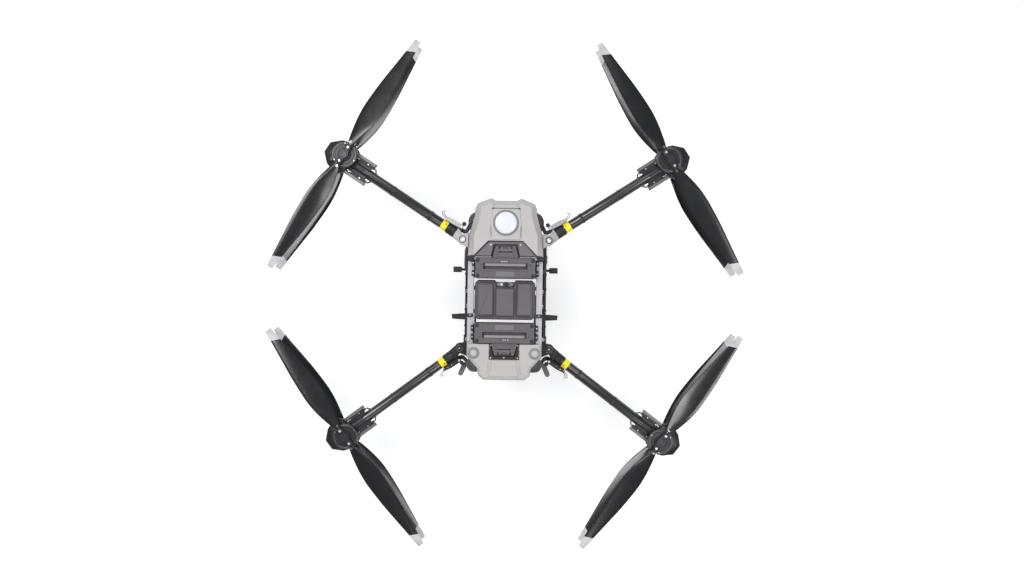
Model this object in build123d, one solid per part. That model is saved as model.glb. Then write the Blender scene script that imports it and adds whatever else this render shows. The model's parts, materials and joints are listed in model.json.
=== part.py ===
from build123d import *
import os
from math import cos, sin, radians

# Agricultural spray drone. Millimetres, +X to its right, +Y to its nose, +Z up.
# The origin is on the ground, under the middle of the drone's own box.
os.makedirs("parts", exist_ok=True)

# Driving dimensions
GAP = 0.3                      # clearance between faces of bodies that move past each other
FIT = 0.05                     # radial clearance of a running fit

FRONT_PIVOT = (221.0, 307.0)   # right-hand fold axes, mirrored to the left
REAR_PIVOT = (234.0, -257.0)
FRONT_ARM_ANGLE = 32.9         # arm direction from the X axis
REAR_ARM_ANGLE = 36.85
FRONT_ARM_LENGTH = 736.0       # fold axis to rotor axis, along the arm
REAR_ARM_LENGTH = 751.0
FRONT_ARM_Z = 596.0            # the front arms lie above the rear ones
REAR_ARM_Z = 450.0
TUBE_OFFSET = 8.0              # tube centre line, sideways from the fold axis
ROTOR_OFFSET = 23.5            # rotor axis, sideways from the fold axis
TUBE_R = 26.0
TUBE_WALL = 2.0
COLLAR_R = 29.0

KNUCKLE_R = 27.0
KNUCKLE_HALF = 33.5            # half height of the arm's hinge knuckle
CLEVIS_PLATE = 7.0
FRONT_BACK, REAR_BACK = 2.0, 9.0   # thickness of the brackets' back plates
PIN_R = 15.0
PIN_BORE_R = 11.0
PIN_HEAD = 2.0                 # how far a pin's head stands out of its bracket

LATCH_X = 40.0                 # latch lever's pin, in the arm's frame
LATCH_Y = 50.0

MOUNT_HALF = 27.0              # half height of the motor mount
BELL_R = 66.0
BELL_Z0 = 34.0                 # heights above the arm's centre line
BELL_Z1 = 72.0
PROP_Z = 90.0
BOLT_PITCH_R = 40.0            # blade bolts, from the rotor axis
BLADE_R = 685.8                # 54 inch propeller
ROOT_HALF = 6.5                # half thickness of a blade's root
HUB_PLATE = 3.5
LOWER_PROP_TURN = -1.5         # the lower propellers rest a little out of line with the upper

RAIL_X0, RAIL_X1 = 160.0, 191.5
RAIL_Z0, RAIL_Z1 = 574.0, 622.0
RAIL_Y0, RAIL_Y1 = -300.0, 330.0
SHELL_WALL = 3.0
SKID_X = 215.0
SKID_R = 13.0
FOOT_R = 17.0

BATTERY_Z0, BATTERY_Z1 = 486.0, 680.0
REAR_DROP = 14.0               # the rear battery sits this much lower
TONGUE_Z0, TONGUE_Z1 = 640.0, 668.0
TANK_Z0, TANK_Z1 = 300.0, 668.0
TANK_WALL = 3.0

BODY_SHIFT_Y = -12.83          # moves the drone so that its box is centred on the origin


# Shape helpers
def block(x0, x1, y0, y1, z0, z1, corner=0.0):
    solid = Pos((x0 + x1) / 2, (y0 + y1) / 2, (z0 + z1) / 2) * Box(x1 - x0, y1 - y0, z1 - z0)
    return fillet(solid.edges().filter_by(Axis.Z), corner) if corner else solid


def disc(x, y, z0, z1, r):
    return Pos(x, y, (z0 + z1) / 2) * Cylinder(r, z1 - z0)


def rod(start, end, r):
    a, b = Vector(*start), Vector(*end)
    return extrude(Plane(a, z_dir=b - a) * Circle(r), (b - a).length)


def pipe(points, bends, r):
    path = FilletPolyline(*points, radius=bends)
    return sweep(Plane(path @ 0, z_dir=path % 0) * Circle(r), path)


def sketch_of(points, corner=0.0):
    face = make_face(Polyline(*points, close=True))
    return fillet(face.vertices(), corner) if corner else face


def slab(points, z0, z1, corner=0.0):
    return extrude(Pos(0, 0, z0) * sketch_of(points, corner), z1 - z0)


def tapered(points, z0, z1, inset, corner=0.0):
    low = sketch_of(points, corner)
    high = offset(low, -inset, kind=Kind.INTERSECTION)
    return loft([Pos(0, 0, z0) * low.face(), Pos(0, 0, z1) * high.face()], ruled=True)


def both_sides(half):
    """A whole outline from its right half, listed from nose to tail."""
    return half + [(-x, y) for x, y in reversed(half)]


def mirrored(shape):
    return mirror(shape, about=Plane.YZ)


def pair(shape):
    return [shape, mirrored(shape)]


def flat(shapes):
    """Every shape in a nest of lists."""
    for shape in shapes:
        if isinstance(shape, (list, tuple)):
            yield from flat(shape)
        else:
            yield shape


def write(name, *shapes):
    solids = []
    for shape in flat(shapes):
        solids.extend((Pos(0, BODY_SHIFT_Y, 0) * shape).solids())
    export_step(solids[0] if len(solids) == 1 else Compound(solids), f"parts/{name}.step")


# Propeller blade: along +X from its bolt at the origin, leading edge towards +Y
BLADE_STATIONS = [  # radius from the rotor axis, chord, thickness, pitch
    (58, 26, 12.5, 3), (84, 45, 12, 8), (124, 66, 11, 13), (170, 86, 10, 15), (212, 98, 9, 14.5),
    (262, 104, 8.5, 13), (330, 100, 7.5, 12), (410, 90, 7, 11), (492, 73, 6, 10), (574, 55, 5, 9),
    (640, 42, 4, 8), (BLADE_R, 34, 3, 8)]
SWEEP_BACK = 5.5               # the blade's middle line drifts back by this much at the tip


def blade_section(radius, chord, thick, pitch):
    shape = [(-0.5, 0.0), (-0.3, 0.42), (0.0, 0.62), (0.3, 0.60), (0.47, 0.28), (0.5, 0.0),
             (0.42, -0.26), (0.1, -0.38), (-0.25, -0.28)]
    back = SWEEP_BACK * radius / BLADE_R
    plane = Plane(origin=(radius - BOLT_PITCH_R, -back, 0), x_dir=(0, 1, 0), z_dir=(1, 0, 0))
    outline = Spline(*[(u * chord, w * thick) for u, w in shape], periodic=True)
    return plane * Rot(0, 0, pitch) * make_face(outline)


def make_blade():
    airfoil = loft([blade_section(*station).face() for station in BLADE_STATIONS])
    root = disc(0, 0, -ROOT_HALF, ROOT_HALF, 12.5) + block(0, 28, -12.5, 12.5, -ROOT_HALF, ROOT_HALF)
    bolt_hole = disc(0, 0, -20, 20, 4 + FIT)
    return airfoil + root - bolt_hole


# Rotor hub: the motor's bell, the two plates that hold the blades, and their bolts
def make_rotor():
    bell = disc(0, 0, BELL_Z0 + 1, BELL_Z1, BELL_R)
    bell = chamfer(bell.edges().filter_by(GeomType.CIRCLE), 2.5)
    groove = disc(0, 0, BELL_Z1 - 2, BELL_Z1 + 1, 50) - disc(0, 0, BELL_Z1 - 2, BELL_Z1 + 1, 47)
    bore = disc(0, 0, BELL_Z0, BELL_Z0 + 24, 8 + FIT)
    for k in range(3):
        a = radians(60 + 120 * k)
        groove += disc(57 * cos(a), 57 * sin(a), BELL_Z1 - 3, BELL_Z1 + 1, 3)
    bell = bell - groove - bore
    low_top = PROP_Z - ROOT_HALF - GAP
    high_base = PROP_Z + ROOT_HALF + GAP
    core = disc(0, 0, BELL_Z1, 103, 20)
    core = core + disc(0, 0, BELL_Z1, low_top, 30)
    plates = []
    for z0, z1 in ((low_top - HUB_PLATE, low_top), (high_base, high_base + HUB_PLATE)):
        bar = extrude(Pos(0, 0, z0) * Rot(0, 0, 90) * SlotCenterToCenter(2 * BOLT_PITCH_R, 30), z1 - z0)
        plates.append(bar - disc(0, 0, z0, z1, 30 if z1 <= low_top else 20))
    cap_dish = disc(0, 0, 101.5, 104, 15)
    bolts = []
    for side in (1, -1):
        y = side * BOLT_PITCH_R
        shank = disc(0, y, low_top - HUB_PLATE - 3, high_base + HUB_PLATE, 4)
        bolts.append(shank + disc(0, y, high_base + HUB_PLATE, 103, 6.5))
        plates = [p - disc(0, y, low_top - 20, 110, 4) for p in plates]
    return [bell, core - cap_dish] + plates + bolts


# Arm, in its own frame: fold axis at the origin, +X outwards, +Y to the latch side
def make_arm(length):
    tube_end = length - 30
    outer = rod((52, TUBE_OFFSET, 0), (tube_end, TUBE_OFFSET, 0), TUBE_R)
    inner = rod((51, TUBE_OFFSET, 0), (tube_end + 1, TUBE_OFFSET, 0), TUBE_R - TUBE_WALL)
    tube = outer - inner
    eye = disc(0, 0, -KNUCKLE_HALF, KNUCKLE_HALF, KNUCKLE_R)
    web = slab([(0, -KNUCKLE_R), (50, TUBE_OFFSET - COLLAR_R), (50, TUBE_OFFSET + COLLAR_R), (0, KNUCKLE_R)],
               -KNUCKLE_HALF, KNUCKLE_HALF)
    collar = rod((46, TUBE_OFFSET, 0), (96, TUBE_OFFSET, 0), COLLAR_R)
    ring_cut = rod((80, TUBE_OFFSET, 0), (83, TUBE_OFFSET, 0), COLLAR_R + 5)
    ring_cut -= rod((79, TUBE_OFFSET, 0), (84, TUBE_OFFSET, 0), COLLAR_R - 1.5)
    socket = rod((52, TUBE_OFFSET, 0), (97, TUBE_OFFSET, 0), TUBE_R)
    latch_seat = block(30, 128, TUBE_OFFSET + COLLAR_R - 8, TUBE_OFFSET + COLLAR_R + 11, -6, 11.5)
    latch_pin = disc(LATCH_X, LATCH_Y, 11.5, 30, 4)
    knuckle = eye + web + collar + latch_seat - ring_cut - socket
    knuckle -= rod((52, TUBE_OFFSET, 0), (130, TUBE_OFFSET, 0), TUBE_R)
    knuckle -= disc(0, 0, -60, 60, PIN_R + FIT)
    plug = rod((98, TUBE_OFFSET, 0), (100, TUBE_OFFSET, 0), TUBE_R - TUBE_WALL)
    return [tube, knuckle, plug, latch_pin]


def make_latch():
    """Over-centre lever on a vertical pin, with two finger hooks at its outer end."""
    lever = slab([(-9, -9), (52, -15), (88, -16), (98, -10), (98, -2), (60, 5), (0, 9), (-9, 7)], 12, 20, 2)
    lever += disc(0, 0, 12, 26, 8)
    rib = slab([(6, -7), (86, -13), (86, -9), (6, 0)], 20, 25)
    lever = lever + rib - disc(0, 0, 0, 40, 4 + FIT)
    hook_points = [(92, -5, 16), (112, -4, 16), (126, 4, 16), (124, 18, 16)]
    hook = pipe(hook_points, 6, 2.4)
    second = Pos(-8, 6, 0) * hook
    catch = pipe([(-6, 2, 16), (-18, 14, 16), (-14, 26, 16), (-2, 28, 16)], 6, 4)
    return Pos(LATCH_X, LATCH_Y, 0) * (lever + hook + second + catch)


# Motor pod at the arm's end, in a frame with the rotor axis at its origin
def make_pod():
    y = TUBE_OFFSET - ROTOR_OFFSET
    half = [(104, 28.6), (60, 71), (36, 80), (-22, 74), (-40, 62), (-40, 34)]
    outline = half + [(px, -py) for px, py in reversed(half)]
    shell = slab(outline, -MOUNT_HALF + 7, MOUNT_HALF - 7, 6)
    shell += tapered(outline, MOUNT_HALF - 7, MOUNT_HALF, 9)
    shell += mirror(tapered(outline, MOUNT_HALF - 7, MOUNT_HALF, 9), about=Plane.XY)
    sleeve = rod((-72, 0, 0), (20, 0, 0), TUBE_R + 6)
    ribs = [block(-20 + 18 * k, -14 + 18 * k, -83, 83, -12, 12) for k in range(2)]
    mount = Pos(0, y, 0) * (shell + sleeve + ribs[0] + ribs[1] - rod((-80, 0, 0), (-30, 0, 0), TUBE_R))
    stators = []
    for up in (1, -1):
        foot = disc(0, 0, MOUNT_HALF, BELL_Z0, 52)
        coil = foot + disc(0, 0, BELL_Z0, BELL_Z0 + 22, 8)
        stators.append(coil if up > 0 else mirror(coil, about=Plane.XY))
    modules = []
    for side in (1, -1):
        case = block(-157, -41, 33, 49, -20, 22)
        case += block(-157, -41, 27.5, 33, -16, -8) + block(-157, -41, 27.5, 33, 8, 16)
        fins = block(-157, -41, 49, 52, -24, 26)
        for k in range(6):
            z = -24 + 9.4 * k
            fins += block(-157, -41, 52, 64, z, z + 3)
        lid = block(-152, -46, 34.5, 47.5, 22, 25, 2)
        for part in (case, fins, lid):
            whole = part if side > 0 else mirror(part, about=Plane.XZ)
            modules.append(Pos(0, y, 0) * whole)
    return [mount] + stators + modules


def make_band():
    ring = rod((103, TUBE_OFFSET, 0), (134, TUBE_OFFSET, 0), TUBE_R + 0.8)
    return ring - rod((102, TUBE_OFFSET, 0), (135, TUBE_OFFSET, 0), TUBE_R)


def place(shape, pivot, angle, height):
    return Pos(pivot[0], pivot[1], height) * Rot(0, 0, angle) * shape


def write_arms():
    blade = make_blade()
    lower_blade = mirror(blade, about=Plane.XZ)
    rotor = make_rotor()
    latch = make_latch()
    pod = make_pod()
    corners = [
        ("fr", "fl", FRONT_PIVOT, FRONT_ARM_ANGLE, FRONT_ARM_LENGTH, FRONT_ARM_Z),
        ("rl", "rr", (-REAR_PIVOT[0], REAR_PIVOT[1]), 180 + REAR_ARM_ANGLE, REAR_ARM_LENGTH, REAR_ARM_Z)]
    for name, twin, pivot, angle, length, height in corners:
        hub = Pos(length, ROTOR_OFFSET, 0)
        nodes = {"arm": make_arm(length) + [make_band()], "latch_lever": [latch],
                 "motor_pod": [hub * piece for piece in pod]}
        for level in ("top", "bottom"):
            turn = Rot(0, 0, 0 if level == "top" else LOWER_PROP_TURN)
            flip = level == "bottom"
            pieces = [mirror(p, about=Plane.XY) if flip else p for p in rotor]
            nodes["rotor_hub_" + level] = [hub * turn * p for p in pieces]
            one = lower_blade if flip else blade
            z = -PROP_Z if flip else PROP_Z
            for letter, way in (("a", 90), ("b", -90)):
                spot = Rot(0, 0, way) * Pos(BOLT_PITCH_R, 0, z) * one
                nodes["blade_" + level + "_" + letter] = [hub * turn * spot]
        for node, pieces in nodes.items():
            set_down = [place(p, pivot, angle, height) for p in pieces]
            write(f"{node}_{name}", set_down)
            write(f"{node}_{twin}", [mirrored(p) for p in set_down])


# Frame
LEG_ENDS = ((272, 226), (-196, -226))   # each leg's top and foot, along Y
LEG_TOP_X = 176.5
STRAP_X0, STRAP_X1 = 155.2, 159.8
BRACE_Z = 320.0


def leg(y_top, y_low, r):
    return rod((LEG_TOP_X, y_top, RAIL_Z0 - 4), (SKID_X - 3, y_low, 44), r)


def write_frame():
    rails = []
    rail = block(RAIL_X0, RAIL_X1, RAIL_Y0, RAIL_Y1, RAIL_Z0, RAIL_Z1)
    rail -= block(RAIL_X0 + 3, RAIL_X1 - 3, RAIL_Y0 - 1, RAIL_Y1 + 1, RAIL_Z0 + 3, RAIL_Z1 - 3)
    rails += pair(rail)
    beams = [block(-RAIL_X0, RAIL_X0, y, y + 16, RAIL_Z0, RAIL_Z0 + 26) for y in (214.5, 314, -242)]
    arms = pair(block(104, 116, 330, 440, RAIL_Z0, RAIL_Z0 + 20))
    arms += pair(block(104, 116, 343, 353, 484, RAIL_Z0))
    posts = []
    for y in (-290, -240):
        posts += pair(block(RAIL_X0 + 2, RAIL_X1, y, y + 20, 405, RAIL_Z0))
    lower = [block(-RAIL_X1, RAIL_X1, y, y + 20, 385, 405) for y in (-290, -240)]
    lower += pair(block(104, 116, -345, -270, 405, 431.7))
    sockets = []
    for y_top, y_low in LEG_ENDS:
        socket = block(RAIL_X0 + 2, RAIL_X1, y_top - 22, y_top + 22, 524, RAIL_Z0)
        sockets += pair(socket - leg(y_top, y_low, 13))
    # Straps that hold the tank, and the rods that carry the pumps
    straps = []
    for y in (-70, 50):
        straps += pair(block(STRAP_X0, STRAP_X1, y, y + 20, TANK_Z0 - 14, RAIL_Z0 + 10))
        straps.append(block(-STRAP_X0, STRAP_X0, y, y + 20, TANK_Z0 - 14, TANK_Z0 - GAP))
        straps += pair(block(138, 148, y + 3, y + 17, 212, TANK_Z0 - 14))
    write("main_frame", rails, beams, arms, posts, lower, sockets, straps)

    # Clevis plates above and below each arm's knuckle
    plates = []
    inner_half = KNUCKLE_HALF + GAP    # half the gap between an arm's two clevis plates
    for pivot, angle, z, back in ((FRONT_PIVOT, FRONT_ARM_ANGLE, FRONT_ARM_Z, FRONT_BACK),
                                  (REAR_PIVOT, -REAR_ARM_ANGLE, REAR_ARM_Z, REAR_BACK)):
        px, py = pivot
        sense = 1 if angle > 0 else -1
        tip = Pos(px, py, 0) * Rot(0, 0, angle)
        for z0 in (z + inner_half, z - inner_half - CLEVIS_PLATE):
            root = sketch_of([(RAIL_X1, py - 42), (RAIL_X1, py + 34), (px, py + KNUCKLE_R - 1),
                              (px, py - KNUCKLE_R + 1)])
            ear = tip * sketch_of([(-6, -24 * sense), (-6, 24 * sense), (44, 22 * sense), (50, 16 * sense),
                                   (50, -10 * sense), (44, -16 * sense)])
            outline = root + Pos(px, py, 0) * Circle(KNUCKLE_R) + ear
            plate = extrude(Pos(0, 0, z0) * outline, CLEVIS_PLATE)
            plates.append(plate - disc(px, py, z - 90, z + 90, PIN_R))
        plates.append(block(RAIL_X1, RAIL_X1 + back, py - 42, py + 34, z - inner_half, z + inner_half))
    write("hinge_brackets", plates, [mirrored(p) for p in plates])

    # Hollow hinge pins, and the cap screws of the covers and clamps
    pins = []
    for (px, py), z in ((FRONT_PIVOT, FRONT_ARM_Z), (REAR_PIVOT, REAR_ARM_Z)):
        half = inner_half + CLEVIS_PLATE + PIN_HEAD
        low, top = z - half, z + half
        pin = disc(px, py, low, top, PIN_R)
        heads = disc(px, py, top - PIN_HEAD, top, PIN_R + 3) + disc(px, py, low, low + PIN_HEAD, PIN_R + 3)
        pins += pair(pin + heads - disc(px, py, low - 1, top + 1, PIN_BORE_R))
    screws = []
    for x, y, z in ((164, 187, 640), (164, 135, 640), (176, -80, 626), (176, -98, 626),
                    (164, -190, 640), (164, -145, 640), (182, -214, RAIL_Z1)):
        screws += pair(disc(x, y, z, z + 4, 4))
    write("pins_and_screws", pins, screws)

    # Landing gear: slanted legs, skid tubes and a cross tube
    gear = []
    for y_top, y_low in LEG_ENDS:
        gear += pair(leg(y_top, y_low, 13))
        tee = rod((SKID_X, y_low - 22, 27), (SKID_X, y_low + 22, 27), SKID_R + 5)
        tee += rod((SKID_X, y_low, 27), (SKID_X - 3, y_low, 60), 17)
        gear += pair(tee - rod((SKID_X, -400, 27), (SKID_X, 400, 27), SKID_R) - leg(y_top, y_low, 13))
        down = (RAIL_Z0 - 4 - BRACE_Z) / (RAIL_Z0 - 48)
        x_brace = LEG_TOP_X + (SKID_X - 3 - LEG_TOP_X) * down - 12
        y_brace = y_top + (y_low - y_top) * down
        gear.append(rod((-x_brace, y_brace, BRACE_Z), (x_brace, y_brace, BRACE_Z), 9))
    skid = rod((SKID_X, -262, 27), (SKID_X, 330, 27), SKID_R)
    gear += pair(skid)
    write("landing_gear", gear)
    pads = []
    for y0, y1 in ((-284, -250), (298, 338)):
        pad = block(SKID_X - FOOT_R, SKID_X + FOOT_R, y0, y1, 0, 34, 8)
        pads += pair(pad - rod((SKID_X, -262, 27), (SKID_X, 330, 27), SKID_R))
    write("skid_pads", pads)

    # Cradles that the folded arms rest over
    block_y, fork_y = 157, -89
    cradle = [block(232, 276, block_y - 15, block_y + 15, 396, 419, 3)]
    cradle.append(rod((192, block_y, 408), (232, block_y, 408), 7))
    cradle.append(block(178, 192, block_y - 10, block_y + 10, 396, RAIL_Z0))
    saddle_x = RAIL_X1 + 5
    cradle.append(slab([(saddle_x, fork_y - 17), (saddle_x, fork_y + 17), (274, fork_y + 12),
                        (272, fork_y - 12)], 547, 553))
    cradle.append(slab([(226, fork_y + 10), (274, fork_y + 8), (274, fork_y + 12), (226, fork_y + 14)], 553, 566))
    cradle.append(slab([(226, fork_y - 14), (272, fork_y - 12), (272, fork_y - 8), (226, fork_y - 10)], 553, 566))
    cradle.append(block(RAIL_X1, saddle_x, fork_y - 17, fork_y + 17, 547, 626))
    cradle.append(block(RAIL_X0 + 2, RAIL_X1, fork_y - 2, fork_y + 17, RAIL_Z1, 626))
    write("arm_rests", [pair(piece) for piece in cradle])


# Covers
NOSE_HALF = [(54, 508), (77, 521), (146, 493), (159, 464), (158, 436), (172, 384), (190, 330), (190, 224)]
TAIL_HALF = [(190, -224), (190, -291), (137, -352), (133, -388), (104, -410)]
DECK_HALF = [(87, 297), (158, 224)]


def write_covers():
    nose = both_sides(NOSE_HALF)
    front_half = [p for p in NOSE_HALF if p[1] > 350] + [(179, 358)]
    shell = slab(nose, RAIL_Z1, 652, 7) + tapered(nose, 652, 690, 16)
    shell += slab(both_sides(front_half), 566, RAIL_Z1)
    shell += tapered(both_sides([(88, 470), (88, 290)]), 690, 696, 4, 6)
    wall = SHELL_WALL
    inner_half = [(x - 2 * wall, y - 2 * wall if y > 440 else y) for x, y in NOSE_HALF[:-1]]
    shell -= slab(both_sides(inner_half + [(190 - 2 * wall, 215)]), RAIL_Z1 - 1, 654)
    front_inner = [p for p in inner_half if p[1] > 350] + [(173, 350)]
    shell -= slab(both_sides(front_inner), 565, RAIL_Z1 + 1)
    shell -= block(-126, 126, 240, 455, 653, 684)
    deck_cut = slab(both_sides([(87, 297), (162, 219)]), 590, 720)
    dish = disc(0, 390, 692, 700, 73)
    slots = block(57, 70, 459, 464, 686, 700) + block(-70, -57, 459, 464, 686, 700)
    shell = shell - deck_cut - dish - slots
    write("front_shell", shell)

    tail = both_sides(TAIL_HALF)
    body = slab(tail, RAIL_Z1, 628, 7) + tapered(tail, 628, 656, 12)
    body += slab(both_sides([(178, -304)] + TAIL_HALF[2:]), 530, RAIL_Z1)
    body += tapered(both_sides([(72, -300), (72, -398)]), 656, 661, 3, 4)
    inner_tail = [(131, -350), (127, -384), (101, -404)]
    inner = slab(both_sides([(184, -215), (184, -288)] + inner_tail), RAIL_Z1 - 1, 630)
    inner += slab(both_sides([(171, -296)] + inner_tail), 529, RAIL_Z1)
    inner += block(-120, 120, -380, -215, 629, 650)
    plate_cut = block(-76, 76, -304, -210, 600, 700)
    wells = pair(disc(155, -272, 600, 700, 30))
    write("rear_shell", body - inner - plate_cut - wells[0] - wells[1])

    # Rounded trays under the covers, with a raised rim
    trays = []
    for y0, y1 in ((342, 460), (-380, -300)):
        base = block(-198, 198, y0, y1, 432, 484, 52 if y0 > 0 else 38)
        dish = block(-186, 186, y0 + 12, y1 - 12, 438, 490, 40 if y0 > 0 else 26)
        trays.append(base - dish)
        liner = block(-186, 186, y0 + 12, y1 - 12, 438, 478, 40 if y0 > 0 else 26)
        trays.append(liner - block(-150, 150, y0 + 20, y1 - 20, 444, 490))
    write("lower_trays", trays)


def write_decks():
    """Dark inserts that hold each battery's plug, and the clips beside the batteries."""
    decks = []
    insert = slab(both_sides([(85, 296), (156, 223)]), 602, 674)
    insert = chamfer(insert.faces().sort_by(Axis.Z)[-1].edges(), 2)
    insert -= slab(both_sides([(62, 284), (78, 200)]), TONGUE_Z0 - GAP, 680)
    decks.append(insert)
    rear = block(-75, 75, -303, -224, 602, 648, 3)
    rear -= slab(both_sides([(78, -200), (55, -289)]), TONGUE_Z0 - REAR_DROP - GAP, 660)
    decks.append(rear)
    for y in (120, 172, -160, -205):
        decks += pair(block(157.5, 171, y, y + 30, RAIL_Z1, 640, 2))
    decks += pair(slab([(172, 196), (191, 196), (191, 222), (162, 222)], RAIL_Z1, 644))
    # Trays that the batteries stand on, hung between the rails
    for y, drop in ((112, 0), (-218, REAR_DROP)):
        low = BATTERY_Z0 - GAP - drop
        decks.append(block(-STRAP_X1, STRAP_X1, y, y + 94, low - 8, low))
        decks += pair(block(STRAP_X0, STRAP_X1, y, y + 94, low, RAIL_Z0 + 30))
    write("battery_decks", decks)


def write_domes():
    front = disc(0, 390, 692, 697, 59) + disc(0, 390, 697, 699, 56)
    lens = loft([Pos(0, 390, 699) * Circle(54).face(), Pos(0, 390, 706) * Circle(49).face(),
                 Pos(0, 390, 709) * Circle(36).face()])
    domes = [front + lens]
    for x in (155, -155):
        base = loft([Pos(x, -272, RAIL_Z1) * Circle(29).face(), Pos(x, -272, 650) * Circle(24).face(),
                     Pos(x, -272, 662) * Circle(19).face()])
        cap = disc(x, -272, 660, 668, 17)
        domes.append(base + fillet(cap.edges().sort_by(Axis.Z)[-1], 3))
    write("nav_domes", domes)


# Batteries, built for the front bay; the rear one is the same pack turned round
BATTERY_HALF = 154.0
BATTERY_DEEP = 104.0
LATCH_PIN_Y, LATCH_PIN_Z = 142.0, 660.0


def make_battery():
    """Case with its inner edge at y = 0 and the plug tongue towards +Y."""
    case = block(-BATTERY_HALF, BATTERY_HALF, 0, BATTERY_DEEP, BATTERY_Z0, BATTERY_Z1, 8)
    case = chamfer(case.faces().sort_by(Axis.Z)[-1].edges(), 3)
    grip = block(-113, 113, 46, 78, BATTERY_Z1 - 26, BATTERY_Z1 + 5)
    panel = block(-114, 114, 5, 38, BATTERY_Z1 - 3, BATTERY_Z1 + 5)
    side_cut = block(-BATTERY_HALF - 1, -122, 41, 56, BATTERY_Z1 - 2, BATTERY_Z1 + 5)
    side_cut += mirrored(side_cut)
    case = case - grip - panel - side_cut
    bar = fillet(block(-113, 113, 61, 77.5, BATTERY_Z1 - 14, BATTERY_Z1 - 2).edges().filter_by(Axis.X), 4)
    tongue = slab([(-68, BATTERY_DEEP - 4), (68, BATTERY_DEEP - 4), (50, 166), (-50, 166)], TONGUE_Z0, TONGUE_Z1, 5)
    pocket = block(-36, 36, 132, 170, 648, 670)
    tongue -= pocket
    bosses = [disc(sx * 142, y, BATTERY_Z1, BATTERY_Z1 + 2, 8) for sx in (1, -1) for y in (14, 90)]
    whole = case + tongue
    for boss in bosses:
        whole += boss
    hinge = rod((-36, LATCH_PIN_Y, LATCH_PIN_Z), (36, LATCH_PIN_Y, LATCH_PIN_Z), 2)
    return [whole, bar, hinge]


def make_battery_latch():
    """Latch paddle in the tongue's pocket, hinged on a pin along X."""
    paddle = block(-26, 26, 137, 160, 652, 668, 3) - block(-14, 14, 150, 166, 660, 670)
    wings = block(-33, -26, 138, 152, 654, 664) + block(26, 33, 138, 152, 654, 664)
    bore = rod((-40, LATCH_PIN_Y, LATCH_PIN_Z), (40, LATCH_PIN_Y, LATCH_PIN_Z), 2 + FIT)
    return paddle + wings - bore


def write_batteries():
    battery, latch = make_battery(), make_battery_latch()
    front = Pos(0, 109, 0)
    rear = Pos(0, -118, 0) * Rot(0, 0, 180)
    rear_drop = Pos(0, 0, -REAR_DROP)
    write("battery_front", [front * piece for piece in battery])
    write("battery_latch_front", front * latch)
    write("battery_rear", [rear * rear_drop * piece for piece in battery])
    write("battery_latch_rear", rear * rear_drop * latch)


# Tank
TANK_Y0, TANK_Y1 = -101.0, 101.0
TANK_X = 154.0
NOTCH_Y = 91.0
NECK_X, NECK_Y = 6.0, 79.0


def tank_layer(inset, z0, z1):
    """A level slice of the tank, with a shallow notch in the front for the filler."""
    x, y0, y1 = TANK_X - inset, TANK_Y0 + inset, TANK_Y1 - inset
    notch_x, notch_y = 50 + inset, NOTCH_Y - inset
    right = [(notch_x - 4, notch_y), (notch_x, y1), (x - 16, y1), (x, y1 - 16), (x, y0 + 16), (x - 16, y0)]
    return slab(both_sides(right), z0, z1)


def write_tank():
    shoulder = TANK_Z1 - 20
    ledge = shoulder - 18
    outer = tank_layer(0, TANK_Z0, shoulder) + tank_layer(4, shoulder, shoulder + 8)
    for x0, x1 in ((54, 136), (-136, -54)):
        outer += block(x0, x1, -84, 92, shoulder, TANK_Z1, 7)
    outer += block(-48, 48, -84, 62, shoulder, TANK_Z1 - 6, 5)
    outer -= block(-50, 50, 64, 110, ledge, TANK_Z1 + 5)
    inner = tank_layer(TANK_WALL, TANK_Z0 + TANK_WALL, shoulder - TANK_WALL)
    inner -= block(-53, 53, 61, 110, ledge - TANK_WALL, TANK_Z1)
    fitting = slab(both_sides([(30, 90), (44, 84), (44, 74), (30, 68)]), ledge, shoulder + 8, 4)
    neck_top = shoulder + 11
    neck = disc(NECK_X, NECK_Y, shoulder + 8, neck_top, 11)
    way_in = disc(NECK_X, NECK_Y, ledge - 10, neck_top + 1, 8)
    write("tank", outer + fitting + neck - inner - way_in)
    z = neck_top + GAP
    cap = disc(NECK_X, NECK_Y, z, z + 7, 12) + disc(NECK_X, NECK_Y, shoulder, z, 8 - GAP)
    for k in range(12):
        a = radians(30 * k)
        cap -= disc(NECK_X + 12.6 * cos(a), NECK_Y + 12.6 * sin(a), z - 1, z + 8, 1.6)
    write("tank_cap", cap)


# Spraying parts under the tank, and radio gear
NOZZLE_X, NOZZLE_Y = 130.0, -318.0


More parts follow.
